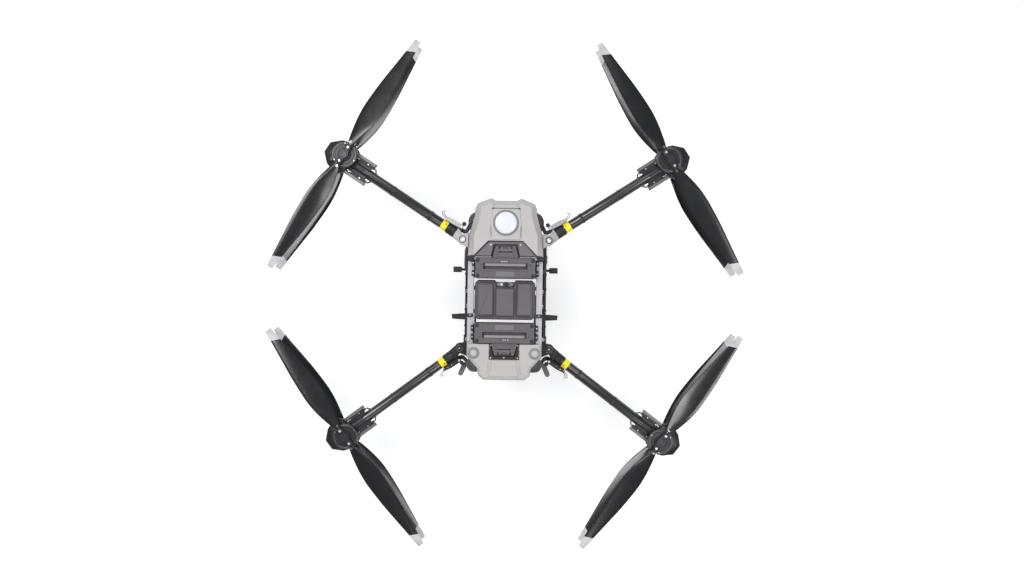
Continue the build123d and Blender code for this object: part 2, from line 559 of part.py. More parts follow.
def write_spray():
    pump_parts = []
    for x in (-70, 70):
        motor = rod((x, -104, 250), (x, -44, 250), 30)
        head = block(x - 34, x + 34, -44, 10, 216, 284, 8)
        pump_parts.append(motor + head)
    manifold = block(-110, 110, 14, 54, 232, 268, 4)
    bed = block(-150, 150, -104, 70, 206, 212)
    pump_parts += [manifold, bed]
    write("pump_unit", pump_parts)

    nozzle_bodies, discs = [], []
    for side, name in ((-1, "left"), (1, "right")):
        x = side * NOZZLE_X
        arm = rod((x, NOZZLE_Y, 374), (x, NOZZLE_Y, 236), 9)
        arm = arm + block(x - 12, x + 12, NOZZLE_Y - 12, -270, 373, 385)
        motor = disc(x, NOZZLE_Y, 190, 236, 24) + disc(x, NOZZLE_Y, 168, 190, 12)
        nozzle_bodies.append(arm + fillet(motor.edges().sort_by(Axis.Z)[-1], 4))
        plate = loft([Pos(x, NOZZLE_Y, 150) * Circle(42).face(), Pos(x, NOZZLE_Y, 160) * Circle(46).face()])
        plate = plate + disc(x, NOZZLE_Y, 160, 168 - GAP, 12)
        for k in range(24):
            a = radians(15 * k)
            plate -= disc(x + 46 * cos(a), NOZZLE_Y + 46 * sin(a), 148, 170, 1.6)
        write(f"nozzle_disc_{name}", plate)
    write("nozzle_bodies", nozzle_bodies)

    hoses = []
    for side in (-1, 1):
        x = side * 70
        suction = pipe([(x, 84, TANK_Z0 - GAP), (x, 84, 250), (x, 54, 250)], 16, 8)
        feed = pipe([(side * 110, 34, 250), (side * 162, 34, 250), (side * 162, -200, 250),
                     (side * NOZZLE_X, -262, 250), (side * NOZZLE_X, NOZZLE_Y + 9.2, 250)], 18, 6)
        hoses += [suction, feed]
    write("spray_hoses", hoses)

    antennas = []
    for side in (-1, 1):
        stem = rod((side * 184, -322, 418), (side * 210, -350, 418), 7)
        start, end = Vector(side * 210, -348), Vector(side * 229, -392)
        mid = (start + end) / 2
        turn = (end - start).get_angle(Vector(1, 0)) if side > 0 else 180 - (end - start).get_angle(
            Vector(-1, 0))
        paddle = extrude(Pos(mid.X, mid.Y, 410) * Rot(0, 0, -turn)
                         * SlotCenterToCenter((end - start).length, 27), 16)
        foot = block(168 if side > 0 else -190, 190 if side > 0 else -168, -334, -290, 396, 430)
        antennas.append(foot + stem + paddle)
    write("radio_antennas", antennas)

    box = block(-88, 88, 300, 440, 604, 650, 6)
    lid = block(-84, 84, 304, 436, 650, 656, 6)
    for k in range(9):
        lid += block(-70 + 16 * k, -66 + 16 * k, 312, 428, 656, 664)
    radar = block(-60, 60, 424, 444, 484, 548, 4)
    feet = [block(x, x + 12, 315, 327, 600, 604) for x in (-86, 74)]
    write("avionics_box", box + lid, feet, radar)


write_arms()
write_frame()
write_covers()
write_decks()
write_domes()
write_batteries()
write_tank()
write_spray()
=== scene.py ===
import json
from math import atan2, cos, pi, radians, sin, sqrt

import bmesh
import bpy
from mathutils import Matrix, Vector


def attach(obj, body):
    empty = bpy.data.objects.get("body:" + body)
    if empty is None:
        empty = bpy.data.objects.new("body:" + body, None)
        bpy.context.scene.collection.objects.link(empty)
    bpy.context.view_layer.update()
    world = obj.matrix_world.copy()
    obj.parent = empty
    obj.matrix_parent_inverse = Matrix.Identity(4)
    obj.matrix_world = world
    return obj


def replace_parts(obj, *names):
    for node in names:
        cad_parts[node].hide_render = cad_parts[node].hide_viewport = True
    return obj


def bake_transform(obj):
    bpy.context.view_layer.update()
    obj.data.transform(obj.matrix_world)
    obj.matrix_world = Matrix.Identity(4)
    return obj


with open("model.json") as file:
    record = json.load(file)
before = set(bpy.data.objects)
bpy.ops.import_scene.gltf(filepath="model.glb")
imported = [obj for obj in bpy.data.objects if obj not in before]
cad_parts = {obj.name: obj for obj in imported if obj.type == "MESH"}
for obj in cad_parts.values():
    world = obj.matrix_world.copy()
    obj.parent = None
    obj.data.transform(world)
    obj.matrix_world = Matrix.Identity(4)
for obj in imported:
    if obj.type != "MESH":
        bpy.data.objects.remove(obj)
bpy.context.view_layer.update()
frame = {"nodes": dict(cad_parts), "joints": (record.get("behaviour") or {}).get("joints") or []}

# Looks of an agricultural spray drone. Pieces are drawn in millimetres, in three kinds of local frame:
# the airframe's, each arm's (fold axis at the origin, +X outwards, +Y to the latch side), and each
# battery's. A matrix per frame takes them to the row frame, in metres.
MM = 0.001
JOINTS = {joint["name"]: joint for joint in frame["joints"]}
FRONT, REAR = ("fl", "fr"), ("rl", "rr")
CORNERS = FRONT + REAR

FRONT_PIVOT_Y = 307.0          # places of the fold axes in the airframe's own drawing
TUBE_OFFSET = 8.0              # tube centre line, sideways from the fold axis
ROTOR_OFFSET = 23.5            # rotor axis, sideways from the fold axis
TUBE_R = 26.0
DATUM_Y = JOINTS["arm_fold_fr"]["pos_m"][1] / MM - FRONT_PIVOT_Y
AIRFRAME = Matrix.Translation((0, DATUM_Y * MM, 0)) @ Matrix.Scale(MM, 4)


# Materials: each is procedural, with its own grain, colour drift and roughness
LOOKS = {}


class Look:
    """A Principled material whose grain lies in the piece's own space."""

    def __init__(self, name, slot, rough, metal=0.0, coat=0.0, coat_rough=0.1):
        self.material = bpy.data.materials.new(name)
        self.material.use_nodes = True
        self.nodes = self.material.node_tree.nodes
        self.links = self.material.node_tree.links
        self.shader = self.nodes["Principled BSDF"]
        self.shader.inputs["Roughness"].default_value = rough
        self.shader.inputs["Metallic"].default_value = metal
        self.shader.inputs["Coat Weight"].default_value = coat
        self.shader.inputs["Coat Roughness"].default_value = coat_rough
        LOOKS[name] = self.material

    def add(self, kind, **values):
        node = self.nodes.new(kind)
        for key, value in values.items():
            if key in node.inputs:
                node.inputs[key].default_value = value
            else:
                setattr(node, key, value)
        return node

    def space(self, stretch=(1, 1, 1), source="Object", turn=0.0):
        place = self.add("ShaderNodeTexCoord")
        mapping = self.add("ShaderNodeMapping")
        mapping.inputs["Scale"].default_value = stretch
        mapping.inputs["Rotation"].default_value = (0, 0, turn)
        self.links.new(place.outputs[source], mapping.inputs["Vector"])
        return mapping.outputs["Vector"]

    def noise(self, scale, detail=3.0, stretch=(1, 1, 1)):
        node = self.add("ShaderNodeTexNoise", Scale=scale, Detail=detail)
        self.links.new(self.space(stretch), node.inputs["Vector"])
        return node.outputs["Fac"]

    def remap(self, value, low, high, start=0.3, end=0.7):
        node = self.add("ShaderNodeMapRange")
        for key, number in (("From Min", start), ("From Max", end), ("To Min", low), ("To Max", high)):
            node.inputs[key].default_value = number
        self.links.new(value, node.inputs["Value"])
        return node.outputs["Result"]

    def colour(self, amount, first, second):
        node = self.add("ShaderNodeMix", data_type="RGBA")
        for socket, value in ((node.inputs[6], first), (node.inputs[7], second)):
            socket.default_value = (*value, 1)
        self.links.new(amount, node.inputs[0])
        self.links.new(node.outputs[2], self.shader.inputs["Base Color"])

    def rough(self, amount, low, high):
        self.links.new(self.remap(amount, low, high), self.shader.inputs["Roughness"])

    def bump(self, amount, strength, depth):
        node = self.add("ShaderNodeBump", Strength=strength, Distance=depth)
        self.links.new(amount, node.inputs["Height"])
        self.links.new(node.outputs["Normal"], self.shader.inputs["Normal"])


def shade(colour, factor):
    return tuple(min(1.0, c * factor) for c in colour)


def moulded(name, slot, colour, rough, grain=900.0, drift=0.06, depth=0.00006, coat=0.0):
    """Moulded plastic or rubber: fine pebble grain, slow colour drift, polish that wanders."""
    look = Look(name, slot, rough, coat=coat)
    slow = look.remap(look.noise(9.0), 0.0, 1.0)
    look.colour(slow, shade(colour, 1 - drift), shade(colour, 1 + drift))
    fine = look.noise(grain, detail=4.0)
    look.rough(fine, rough - 0.07, rough + 0.07)
    look.bump(fine, 0.35, depth)


def metal(name, slot, colour, rough, stretch=(1, 1, 1), grain=500.0, depth=0.00004, drift=0.08, metallic=1.0):
    """Machined, brushed or cast metal: its grain runs along the axis with the smallest stretch."""
    look = Look(name, slot, rough, metal=metallic)
    lines = look.noise(grain, detail=5.0, stretch=stretch)
    look.colour(look.remap(lines, 0.0, 1.0), shade(colour, 1 - drift), shade(colour, 1 + drift))
    look.rough(look.noise(30.0), rough - 0.06, rough + 0.08)
    look.bump(lines, 0.4, depth)


def turned(name, slot, colour, rough, metallic=0.7):
    """Lathe-turned metal: rings about the piece's own Z axis."""
    look = Look(name, slot, rough, metal=metallic)
    rings = look.add("ShaderNodeTexWave", Scale=420.0, Distortion=0.4, wave_type="RINGS", rings_direction="Z")
    look.links.new(look.space(), rings.inputs["Vector"])
    look.colour(look.noise(40.0), shade(colour, 0.85), shade(colour, 1.15))
    look.rough(rings.outputs["Fac"], rough - 0.05, rough + 0.08)
    look.bump(rings.outputs["Fac"], 0.25, 0.00003)


def carbon(name, slot):
    """Twill carbon fibre under clear lacquer, on UVs in units of one tow."""
    look = Look(name, slot, 0.32, coat=0.8, coat_rough=0.12)
    tows = look.add("ShaderNodeTexChecker", Scale=1.0)
    look.links.new(look.space(source="UV", turn=pi / 4), tows.inputs["Vector"])
    look.colour(tows.outputs["Fac"], (0.008, 0.008, 0.009), (0.019, 0.019, 0.021))
    threads = look.add("ShaderNodeTexWave", Scale=2.5, wave_type="BANDS", bands_direction="DIAGONAL")
    look.links.new(look.space(source="UV"), threads.inputs["Vector"])
    look.bump(threads.outputs["Fac"], 0.15, 0.00004)


def lacquer(name, slot, colour, rough, coat):
    """Smooth moulded composite with a wet coat, slightly uneven, as on a propeller."""
    look = Look(name, slot, rough, coat=coat, coat_rough=0.16)
    waves = look.noise(22.0, detail=2.0)
    look.colour(look.remap(waves, 0, 1), shade(colour, 0.85), shade(colour, 1.2))
    look.rough(look.noise(14.0), rough - 0.03, rough + 0.04)
    look.bump(look.noise(30.0, detail=1.0), 0.05, 0.00004)


def make_looks():
    moulded("shell", "grey_cover", (0.50, 0.485, 0.468), 0.52, drift=0.025)
    # A darker copy of the shell grey: painted shade, used on the nose ribs.
    moulded("shell_edge", "grey_cover", (0.40, 0.388, 0.374), 0.55, drift=0.025)
    moulded("deck", "dark_cover", (0.155, 0.147, 0.155), 0.55)
    moulded("dark", "dark_cover", (0.028, 0.027, 0.029), 0.5)
    moulded("battery", "battery_grey", (0.118, 0.108, 0.115), 0.5)
    moulded("battery_light", "battery_grey", (0.185, 0.174, 0.180), 0.45)
    moulded("tank", "tank_grey", (0.120, 0.112, 0.118), 0.5, grain=700.0)
    moulded("tank_rim", "tank_grey", (0.082, 0.077, 0.081), 0.5, grain=700.0)
    moulded("black", "black_plastic", (0.016, 0.016, 0.017), 0.42)
    moulded("rubber", "rubber", (0.020, 0.020, 0.021), 0.78, grain=500.0, depth=0.0001)
    moulded("paddle", "rubber", (0.165, 0.158, 0.163), 0.6, grain=500.0)
    moulded("dome", "white_dome", (0.80, 0.82, 0.87), 0.32, grain=1500.0, drift=0.01, depth=0.00002, coat=0.2)
    moulded("rear_cap", "white_dome", (0.50, 0.49, 0.50), 0.4, drift=0.01, depth=0.00003)
    moulded("handle", "battery_grey", (0.27, 0.255, 0.262), 0.45)
    moulded("dome_ring", "grey_cover", (0.27, 0.262, 0.262), 0.4)
    moulded("yellow", "carbon_tube", (0.93, 0.83, 0.015), 0.45, drift=0.04)
    moulded("red", "carbon_tube", (0.72, 0.045, 0.012), 0.45)
    moulded("hose", "rubber", (0.032, 0.032, 0.036), 0.35, depth=0.00003)
    moulded("lamp", "white_dome", (0.9, 0.92, 0.95), 0.15, drift=0.01)
    moulded("lens", "black_plastic", (0.01, 0.012, 0.02), 0.12, drift=0.01, depth=0.00001, coat=0.6)
    metal("rail", "bright_alloy", (0.53, 0.515, 0.53), 0.42, stretch=(1, 0.02, 1), metallic=0.6)
    metal("cast", "bright_alloy", (0.42, 0.405, 0.415), 0.42, grain=900.0, depth=0.00012, metallic=0.8)
    metal("cast_black", "black_casting", (0.022, 0.022, 0.023), 0.4, grain=900.0, depth=0.0001, metallic=0.3)
    metal("pod", "black_casting", (0.030, 0.029, 0.031), 0.36, grain=700.0, depth=0.00008, metallic=0.35)
    metal("fins", "rotor_black", (0.20, 0.188, 0.176), 0.45, stretch=(1, 1, 0.1), metallic=0.6)
    metal("steel", "steel", (0.78, 0.78, 0.79), 0.24)
    metal("bolt", "steel", (0.86, 0.86, 0.86), 0.3, metallic=0.7)
    metal("gear", "black_tube", (0.020, 0.020, 0.021), 0.33, stretch=(1, 0.05, 1), metallic=0.4)
    turned("bell", "rotor_black", (0.055, 0.053, 0.057), 0.36)
    turned("bell_ring", "rotor_black", (0.085, 0.081, 0.087), 0.36)
    carbon("carbon", "carbon_tube")
    lacquer("blade", "blade_black", (0.0075, 0.0075, 0.008), 0.24, 0.5)
    lacquer("tip", "blade_black", (0.56, 0.55, 0.56), 0.42, 0.1)


# Mesh tools
def offset_outline(points, distances):
    """Moves each edge of a closed outline inwards by its own distance, for an outline drawn clockwise."""
    count = len(points)
    lines = []
    for i in range(count):
        a, b = Vector(points[i]), Vector(points[(i + 1) % count])
        along = (b - a).normalized()
        inwards = Vector((along.y, -along.x))
        lines.append((a + inwards * distances[i], along))
    moved = []
    for i in range(count):
        (p, d), (q, e) = lines[i - 1], lines[i]
        cross = d.x * e.y - d.y * e.x
        if abs(cross) < 1e-6:
            moved.append((q.x, q.y))
        else:
            t = ((q.x - p.x) * e.y - (q.y - p.y) * e.x) / cross
            moved.append((p.x + d.x * t, p.y + d.y * t))
    return moved


def both_sides(half):
    """A clockwise outline from its right half, listed from nose to tail."""
    return half + [(-x, y) for x, y in reversed(half)]


def rect(x0, x1, y0, y1):
    return [(x0, y0), (x0, y1), (x1, y1), (x1, y0)]


def rounded(points, radius, steps=5):
    """A clockwise outline with its corners turned into arcs."""
    out = []
    count = len(points)
    for i in range(count):
        before, here, after = Vector(points[i - 1]), Vector(points[i]), Vector(points[(i + 1) % count])
        a, b = (before - here).normalized(), (after - here).normalized()
        half = a.angle(b) / 2
        reach = min(radius / max(0.05, sin(half) / cos(half)), 0.45 * min((before - here).length,
                                                                         (after - here).length))
        start, end = here + a * reach, here + b * reach
        for k in range(steps + 1):
            t = k / steps
            out.append(tuple(start * (1 - t) ** 2 + here * 2 * t * (1 - t) + end * t * t))
    return out


def slot_outline(half_length, half_width, count=12):
    """A round-ended bar along Y."""
    points = []
    for end in (1, -1):
        for k in range(count + 1):
            a = pi - pi * k / count if end > 0 else -pi * k / count
            points.append((half_width * cos(a), end * (half_length - half_width) + half_width * sin(a)))
    return points


def add_rings(bm, rings, closed=False):
    """Skins a stack of rings of equal count, and caps both ends unless the stack closes on itself."""
    rows = [[bm.verts.new(Vector(p)) for p in ring] for ring in rings]
    count = len(rows[0])
    pairs = list(zip(rows, rows[1:])) + ([(rows[-1], rows[0])] if closed else [])
    for low, high in pairs:
        for i in range(count):
            k = (i + 1) % count
            bm.faces.new((low[i], low[k], high[k], high[i]))
    if not closed:
        bm.faces.new(list(reversed(rows[0])))
        bm.faces.new(rows[-1])


def add_stack(bm, outline, levels, weights=None):
    """A solid from one outline at several levels; levels are (z, inset), weights scale it per edge."""
    weights = weights or [1.0] * len(outline)
    rings = []
    for z, inset in levels:
        points = offset_outline(outline, [inset * w for w in weights]) if inset else outline
        rings.append([(x, y, z) for x, y in points])
    add_rings(bm, rings)


def add_prism(bm, outline, z0, z1):
    add_stack(bm, outline, [(z0, 0), (z1, 0)])


def add_block(bm, x0, x1, y0, y1, z0, z1, corner=0.0):
    outline = rect(x0, x1, y0, y1)
    add_prism(bm, rounded(outline, corner, 4) if corner else outline, z0, z1)


def add_lathe(bm, profile, centre=(0, 0, 0), axis="Z", count=48, closed=False):
    """Turns a profile of (radius, height) about an axis; closed joins its last point to its first."""
    cx, cy, cz = centre
    rings = []
    for r, h in profile:
        ring = []
        for k in range(count):
            a = 2 * pi * k / count
            u, v = r * cos(a), r * sin(a)
            ring.append({"Z": (cx + u, cy + v, cz + h), "X": (cx + h, cy + u, cz + v),
                         "Y": (cx + u, cy + h, cz + v)}[axis])
        rings.append(ring)
    add_rings(bm, rings, closed)


def smooth_path(points, steps=6):
    """Points along a Catmull-Rom curve through the given ones."""
    pts = [Vector(p) for p in points]
    pts = [pts[0] * 2 - pts[1]] + pts + [pts[-1] * 2 - pts[-2]]
    out = []
    for i in range(1, len(pts) - 2):
        a, b, c, d = pts[i - 1:i + 3]
        for k in range(steps):
            t = k / steps
            out.append(0.5 * (2 * b + (c - a) * t + (2 * a - 5 * b + 4 * c - d) * t * t
                              + (3 * b - a - 3 * c + d) * t ** 3))
    return out + [pts[-2]]


def add_tube(bm, points, radius, sides=14, steps=6):
    """A round bar along a smooth path."""
    path = smooth_path(points, steps)
    across = (path[1] - path[0]).orthogonal().normalized()
    rings = []
    for i, here in enumerate(path):
        along = (path[min(i + 1, len(path) - 1)] - path[max(i - 1, 0)]).normalized()
        across = (across - along * across.dot(along)).normalized()
        other = along.cross(across)
        rings.append([here + across * (radius * cos(2 * pi * k / sides))
                      + other * (radius * sin(2 * pi * k / sides))
                      for k in range(sides)])
    add_rings(bm, rings)


def add_screw(bm, x, y, z, r=4.0, h=3.0, count=24):
    """A cap screw's head, facing up, with a hexagon socket."""
    socket = []
    for k in range(count):
        a = 2 * pi * k / count
        edge = 0.5 * r * cos(pi / 6) / cos((a % (pi / 3)) - pi / 6)
        socket.append((edge * cos(a), edge * sin(a)))
    rings = []
    for radius, height in ((r, z), (r, z + h - 0.18 * r), (0.84 * r, z + h)):
        rings.append([(x + radius * cos(2 * pi * k / count), y + radius * sin(2 * pi * k / count), height)
                      for k in range(count)])
    rings.append([(x + u, y + v, z + h) for u, v in socket])
    rings.append([(x + u, y + v, z + 0.4 * h) for u, v in socket])
    add_rings(bm, rings)


def finish(name, bm, body, look, to=AIRFRAME, bevel=0.0, segments=2, crease=35.0, origin=None):
    """Turns a drawing in local millimetres into a piece that rides on a CAD body, if one is named."""
    bmesh.ops.transform(bm, matrix=to, verts=bm.verts)
    bmesh.ops.remove_doubles(bm, verts=bm.verts, dist=0.002 * MM)
    bmesh.ops.recalc_face_normals(bm, faces=bm.faces)
    mesh = bpy.data.meshes.new(name)
    piece = bpy.data.objects.new(name, mesh)
    if origin is not None:
        bmesh.ops.translate(bm, vec=-Vector(origin), verts=bm.verts)
        piece.location = origin
    bm.to_mesh(mesh)
    bm.free()
    bpy.context.scene.collection.objects.link(piece)
    for one in (look if isinstance(look, (list, tuple)) else [look]):
        mesh.materials.append(LOOKS[one])
    mesh.shade_smooth()
    mesh.set_sharp_from_angle(angle=radians(crease))
    if bevel:
        soften(piece, bevel, segments, crease)
    if body:
        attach(piece, body)
    return piece


def soften(piece, width, segments=2, crease=35.0):
    """Rounds a piece's edges with a bevel, in millimetres."""
    edge = piece.modifiers.new("edge", "BEVEL")
    edge.width = width * MM
    edge.segments = segments
    edge.limit_method = "ANGLE"
    edge.angle_limit = radians(crease)
    edge.harden_normals = True
    weigh(piece)


def weigh(piece):
    """Lets a piece's broad faces shade flat, with the turn kept to its edges."""
    normals = piece.modifiers.new("normals", "WEIGHTED_NORMAL")
    normals.keep_sharp = True


def carve(piece, to, *cutters):
    """Cuts filled drawings out of a piece that has no modifiers yet."""
    tools = []
    for bm in cutters:
        bmesh.ops.transform(bm, matrix=to, verts=bm.verts)
        bmesh.ops.recalc_face_normals(bm, faces=bm.faces)
        mesh = bpy.data.meshes.new("cutter")
        bm.to_mesh(mesh)
        bm.free()
        tool = bpy.data.objects.new("cutter", mesh)
        bpy.context.scene.collection.objects.link(tool)
        tools.append(tool)
        cut = piece.modifiers.new("cut", "BOOLEAN")
        cut.operation = "DIFFERENCE"
        cut.solver = "EXACT"
        cut.object = tool
    scene_now = bpy.context.evaluated_depsgraph_get()
    piece.data = bpy.data.meshes.new_from_object(piece.evaluated_get(scene_now))
    piece.modifiers.clear()
    for tool in tools:
        bpy.data.objects.remove(tool)
    piece.data.shade_smooth()
    piece.data.set_sharp_from_angle(angle=radians(30))


def dress(node, look):
    """Gives a CAD node that stays its better material."""
    part = frame["nodes"][node]
    if not part.material_slots:
        part.data.materials.append(LOOKS[look])
    for slot in part.material_slots:
        slot.material = LOOKS[look]


def copy_part(node, name, body, look, keep=lambda centre: True, bevel=0.0):
    """A piece made of those solids of a CAD node whose faces pass a test, with softened edges."""
    bm = bmesh.new()
    bm.from_mesh(frame["nodes"][node].data)
    bmesh.ops.transform(bm, matrix=AIRFRAME.inverted(), verts=bm.verts)
    drop = [face for face in bm.faces if not keep(face.calc_center_median())]
    bmesh.ops.delete(bm, geom=drop, context="FACES")
    bmesh.ops.remove_doubles(bm, verts=bm.verts, dist=0.005)
    bmesh.ops.dissolve_limit(bm, angle_limit=radians(1), verts=bm.verts, edges=bm.edges)
    piece = finish(name, bm, body, look, bevel=bevel)
    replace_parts(piece, node)
    return piece


# Covers
NOSE = [(54, 508), (77, 521), (146, 493), (159, 464), (158, 436), (172, 384), (190, 330), (190, 224),
        (158, 224), (87, 297)]
TAIL = [(76, -304), (76, -224), (190, -224), (190, -291), (137, -352), (133, -388), (104, -410)]
NOTCH = 0.12                   # how little the covers lean in along their notches
COVER_Z0 = 622.3
DOME_Y = 390.0
DOME_TOP = 709.0
REAR_DOME_X, REAR_DOME_Y = 155.0, -272.0


def make_front_shell():
    outline = both_sides(NOSE)
    weights = [1.0] * 7 + [NOTCH] * 5 + [1.0] * 8
    bm = bmesh.new()
    add_stack(bm, outline, [(COVER_Z0, 0), (638, 1.5), (649, 6), (660, 12.5), (671, 19.5), (681, 25.5),
                            (689, 28.5)], weights)
    shell = finish("front_shell_skin", bm, "airframe", "shell", bevel=2.2, segments=3, crease=28)
    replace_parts(shell, "front_shell")

    fairing = [p for p in NOSE if p[1] > 350] + [(178, 358)]
    bm = bmesh.new()
    add_stack(bm, both_sides(fairing), [(566, 14), (578, 6), (596, 1), (COVER_Z0, 0)],
              [1] * 6 + [0.0] + [1] * 7)
    chin = finish("front_fairing", bm, "airframe", "shell", bevel=2.5, segments=3)
    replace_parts(chin, "front_shell")

    # Raised plate around the dome: a rectangle and a disc as one star-shaped outline
    plate = []
    for k in range(120):
        a = -2 * pi * k / 120
        u, v = cos(a), sin(a)
        side = 73 / abs(u) if abs(u) > 1e-6 else 1e6
        end = (74 if v > 0 else 85) / abs(v) if abs(v) > 1e-6 else 1e6
        reach = max(79.0, min(side, end))
        plate.append((reach * u, DOME_Y + reach * v))
    bm = bmesh.new()
    add_stack(bm, plate, [(684, 0), (691, 0.4), (693.5, 2.4)])
    finish("dome_plate", bm, "airframe", "shell", bevel=0.8)
    # Black strip along the plate's top edge, with slot-shaped ends: painted shadow of the step and groove there.
    bm = bmesh.new()
    for side in (-1, 1):
        add_stack(bm, rounded(rect(side * 66 - 6, side * 66 + 6, 459, 465), 2, 3), [(690, 0), (694.2, 0)])
    add_block(bm, -58, 58, 461.5, 464.5, 690, 694.0, 0.8)
    finish("nose_shadow_line", bm, "airframe", "black")
    # Ribs at both ends of the plate's top edge and down both sides of it, in the darker shell grey: painted shade
    # of the grooves there.
    bm = bmesh.new()
    for side in (-1, 1):
        add_stack(bm, rounded([(side * 62 - 5, 466), (side * 62 - 8, 484), (side * 62 + 8, 484),
                               (side * 62 + 5, 466)], 3, 3), [(672, 0), (688.6, 0), (689.4, 1)])
        add_tube(bm, [(side * 77, 318, 691), (side * 77, 350, 691.5), (side * 79, 372, 691)], 2.2, 10)
    finish("nose_ribs", bm, "airframe", "shell_edge", bevel=0.5)


def make_domes():
    bm = bmesh.new()
    add_lathe(bm, [(0, 690), (66, 690), (66, 694.6), (64.5, 696), (62, 696), (61, 694.6), (58, 694.6),
                   (57.6, 698.5),
                   (56.6, 699.6), (0, 699.6)], (0, DOME_Y, 0), count=72)
    ring = finish("front_dome_ring", bm, "airframe", "dome_ring")
    bm = bmesh.new()
    add_lathe(bm, [(0, 696), (55.6, 696), (55.6, 700), (54.6, 702.4), (51, 705), (44, 707),
                   (33, DOME_TOP - 0.8),
                   (18, DOME_TOP - 0.1), (0.4, DOME_TOP)], (0, DOME_Y, 0), count=72)
    lens = finish("front_dome_cap", bm, "airframe", "dome", crease=40)
    rings, caps = bmesh.new(), bmesh.new()
    for side in (-1, 1):
        place = (side * REAR_DOME_X, REAR_DOME_Y, 0)
        add_lathe(rings, [(0, 640), (30, 640), (30, 655), (29, 658), (26, 660), (23, 661.5), (19.4, 662),
                          (0, 662)], place)
        add_lathe(caps, [(0, 660), (17, 660), (17, 665.5), (15.8, 667.4), (12, 668), (0.4, 668)], place)
    rear_rings = finish("rear_dome_rings", rings, "airframe", "dome_ring")
    rear_caps = finish("rear_dome_caps", caps, "airframe", "rear_cap")
    for piece in (ring, lens, rear_rings, rear_caps):
        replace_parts(piece, "nav_domes")


def make_rear_shell():
    outline = both_sides(TAIL)
    weights = [NOTCH, NOTCH, 1, 1, 1, 1, 1, 1, 1, 1, 1, NOTCH, NOTCH, NOTCH]
    bm = bmesh.new()
    add_stack(bm, outline, [(COVER_Z0, 0), (634, 0.5), (643, 3), (650, 8), (654.5, 14), (656, 19)], weights)
    shell = finish("rear_shell_skin", bm, "airframe", "shell", bevel=1.8, segments=3, crease=28)
    bm = bmesh.new()
    add_stack(bm, both_sides([(178, -304)] + TAIL[4:]), [(530, 10), (544, 3), (562, 0), (COVER_Z0, 0)],
              [1, 1, 1, 1, 1, 1, 1, 0.0])
    skirt = finish("rear_fairing", bm, "airframe", "shell", bevel=2.2, segments=3)
    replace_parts(shell, "rear_shell")
    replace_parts(skirt, "rear_shell")
    bm = bmesh.new()
    panel = both_sides([(66, -308), (70, -360), (80, -391)])
    add_stack(bm, panel, [(650, 0), (658.5, 1), (660.8, 3.5)])
    finish("rear_panel", bm, "airframe", "shell", bevel=1.5, segments=3)
    bm = bmesh.new()
    for side in (-1, 1):
        add_tube(bm, [(side * 78, -306, 655), (side * 80, -345, 656.5), (side * 86, -372, 655.5),
                      (side * 100, -392, 650)], 3.2, 12)
        add_lathe(bm, [(0, 640), (9, 640), (9, 655.5), (7, 657.4), (0.4, 657.8)], (side * 118, -376, 0),
                  count=32)
    finish("rear_ridges", bm, "airframe", "shell")


SCREWS = {                     # cover and deck screws on each side: x, y, z, head radius
    "cover_screws": [(67, 427, 693.5, 4.0), (74, 317, 693.5, 4.0), (184, 232, 650, 3.2), (180, -232, 649, 3.2)],
    "deck_screws": [(75, 280, 674, 4.6), (68, -232, 648, 3.6), (68, -296, 648, 3.6)],
    "rail_screws": [(164, 187, 640, 3.4), (164, 135, 640, 3.4), (176, -80, 626, 3.6), (176, -98, 626, 3.6),
                    (164, -190, 640, 3.4), (164, -145, 640, 3.4), (182, -214, 622, 3.4), (170, -214, 622, 3.0)],
}


def make_screws():
    for name, places in SCREWS.items():
        bm = bmesh.new()
        for x, y, z, r in places:
            for side in (-1, 1):
                add_screw(bm, side * x, y, z, r, 3.0)
        if name == "deck_screws":
            add_screw(bm, 0, -294, 648, 3.6, 3.0)
        finish(name, bm, "airframe", "bolt")
    # Rivets down the outer side of each rail
    bm = bmesh.new()
    for side in (-1, 1):
        for y in (46, 24, -34, -56):
            add_lathe(bm, [(0, 0), (3.4, 0), (3.4, 1.6), (2.2, 2.6), (0.3, 2.8)], (side * 152.3, y, 615),
                      count=20)
    finish("side_rivets", bm, "airframe", "steel")
    copy_part("pins_and_screws", "hinge_pins", "airframe", "steel", bevel=0.5)


def make_frame_looks():
    copy_part("main_frame", "rails", "airframe", "rail", lambda c: c.z > 573, bevel=0.7)
    copy_part("main_frame", "lower_frame", "airframe", "gear", lambda c: c.z <= 573)
    copy_part("hinge_brackets", "front_brackets", "airframe", "cast",
                          lambda c: c.y > 0, bevel=1.0)
    copy_part("hinge_brackets", "rear_brackets", "airframe", "cast_black",
                          lambda c: c.y < 0, bevel=1.0)
    copy_part("lower_trays", "tray_shells", "airframe", "tank", bevel=1.0)
    copy_part("battery_decks", "deck_insert", "airframe", "deck",
                          lambda c: c.y > 222 and c.z > 600, bevel=1.2)
    copy_part("battery_decks", "deck_clips", "airframe", "black",
                          lambda c: not (c.y > 222 and c.z > 600), bevel=1.0)
    copy_part("radio_antennas", "antennas", "airframe", "paddle", bevel=1.5)
    copy_part("arm_rests", "arm_cradles", "airframe", "black", bevel=1.2)
    copy_part("avionics_box", "avionics_case", "airframe", "dark", bevel=0.8)
    copy_part("pump_unit", "pumps", "airframe", "black", bevel=1.2)
    copy_part("nozzle_bodies", "nozzle_motors", "airframe", "black", bevel=0.8)
    dress("landing_gear", "gear")
    copy_part("skid_pads", "skid_feet", "airframe", "rubber", bevel=1.2)
    dress("spray_hoses", "hose")
    for side in ("left", "right"):
        dress("nozzle_disc_" + side, "black")


# Batteries: drawn with the inner edge at y = 0 and the plug tongue towards +Y
BATTERY_Z = 680.0
BATTERY_PLACES = {"front": Matrix.Translation((0, 109, 0)),
                  "rear": Matrix.Translation((0, -118, -14)) @ Matrix.Rotation(pi, 4, "Z")}


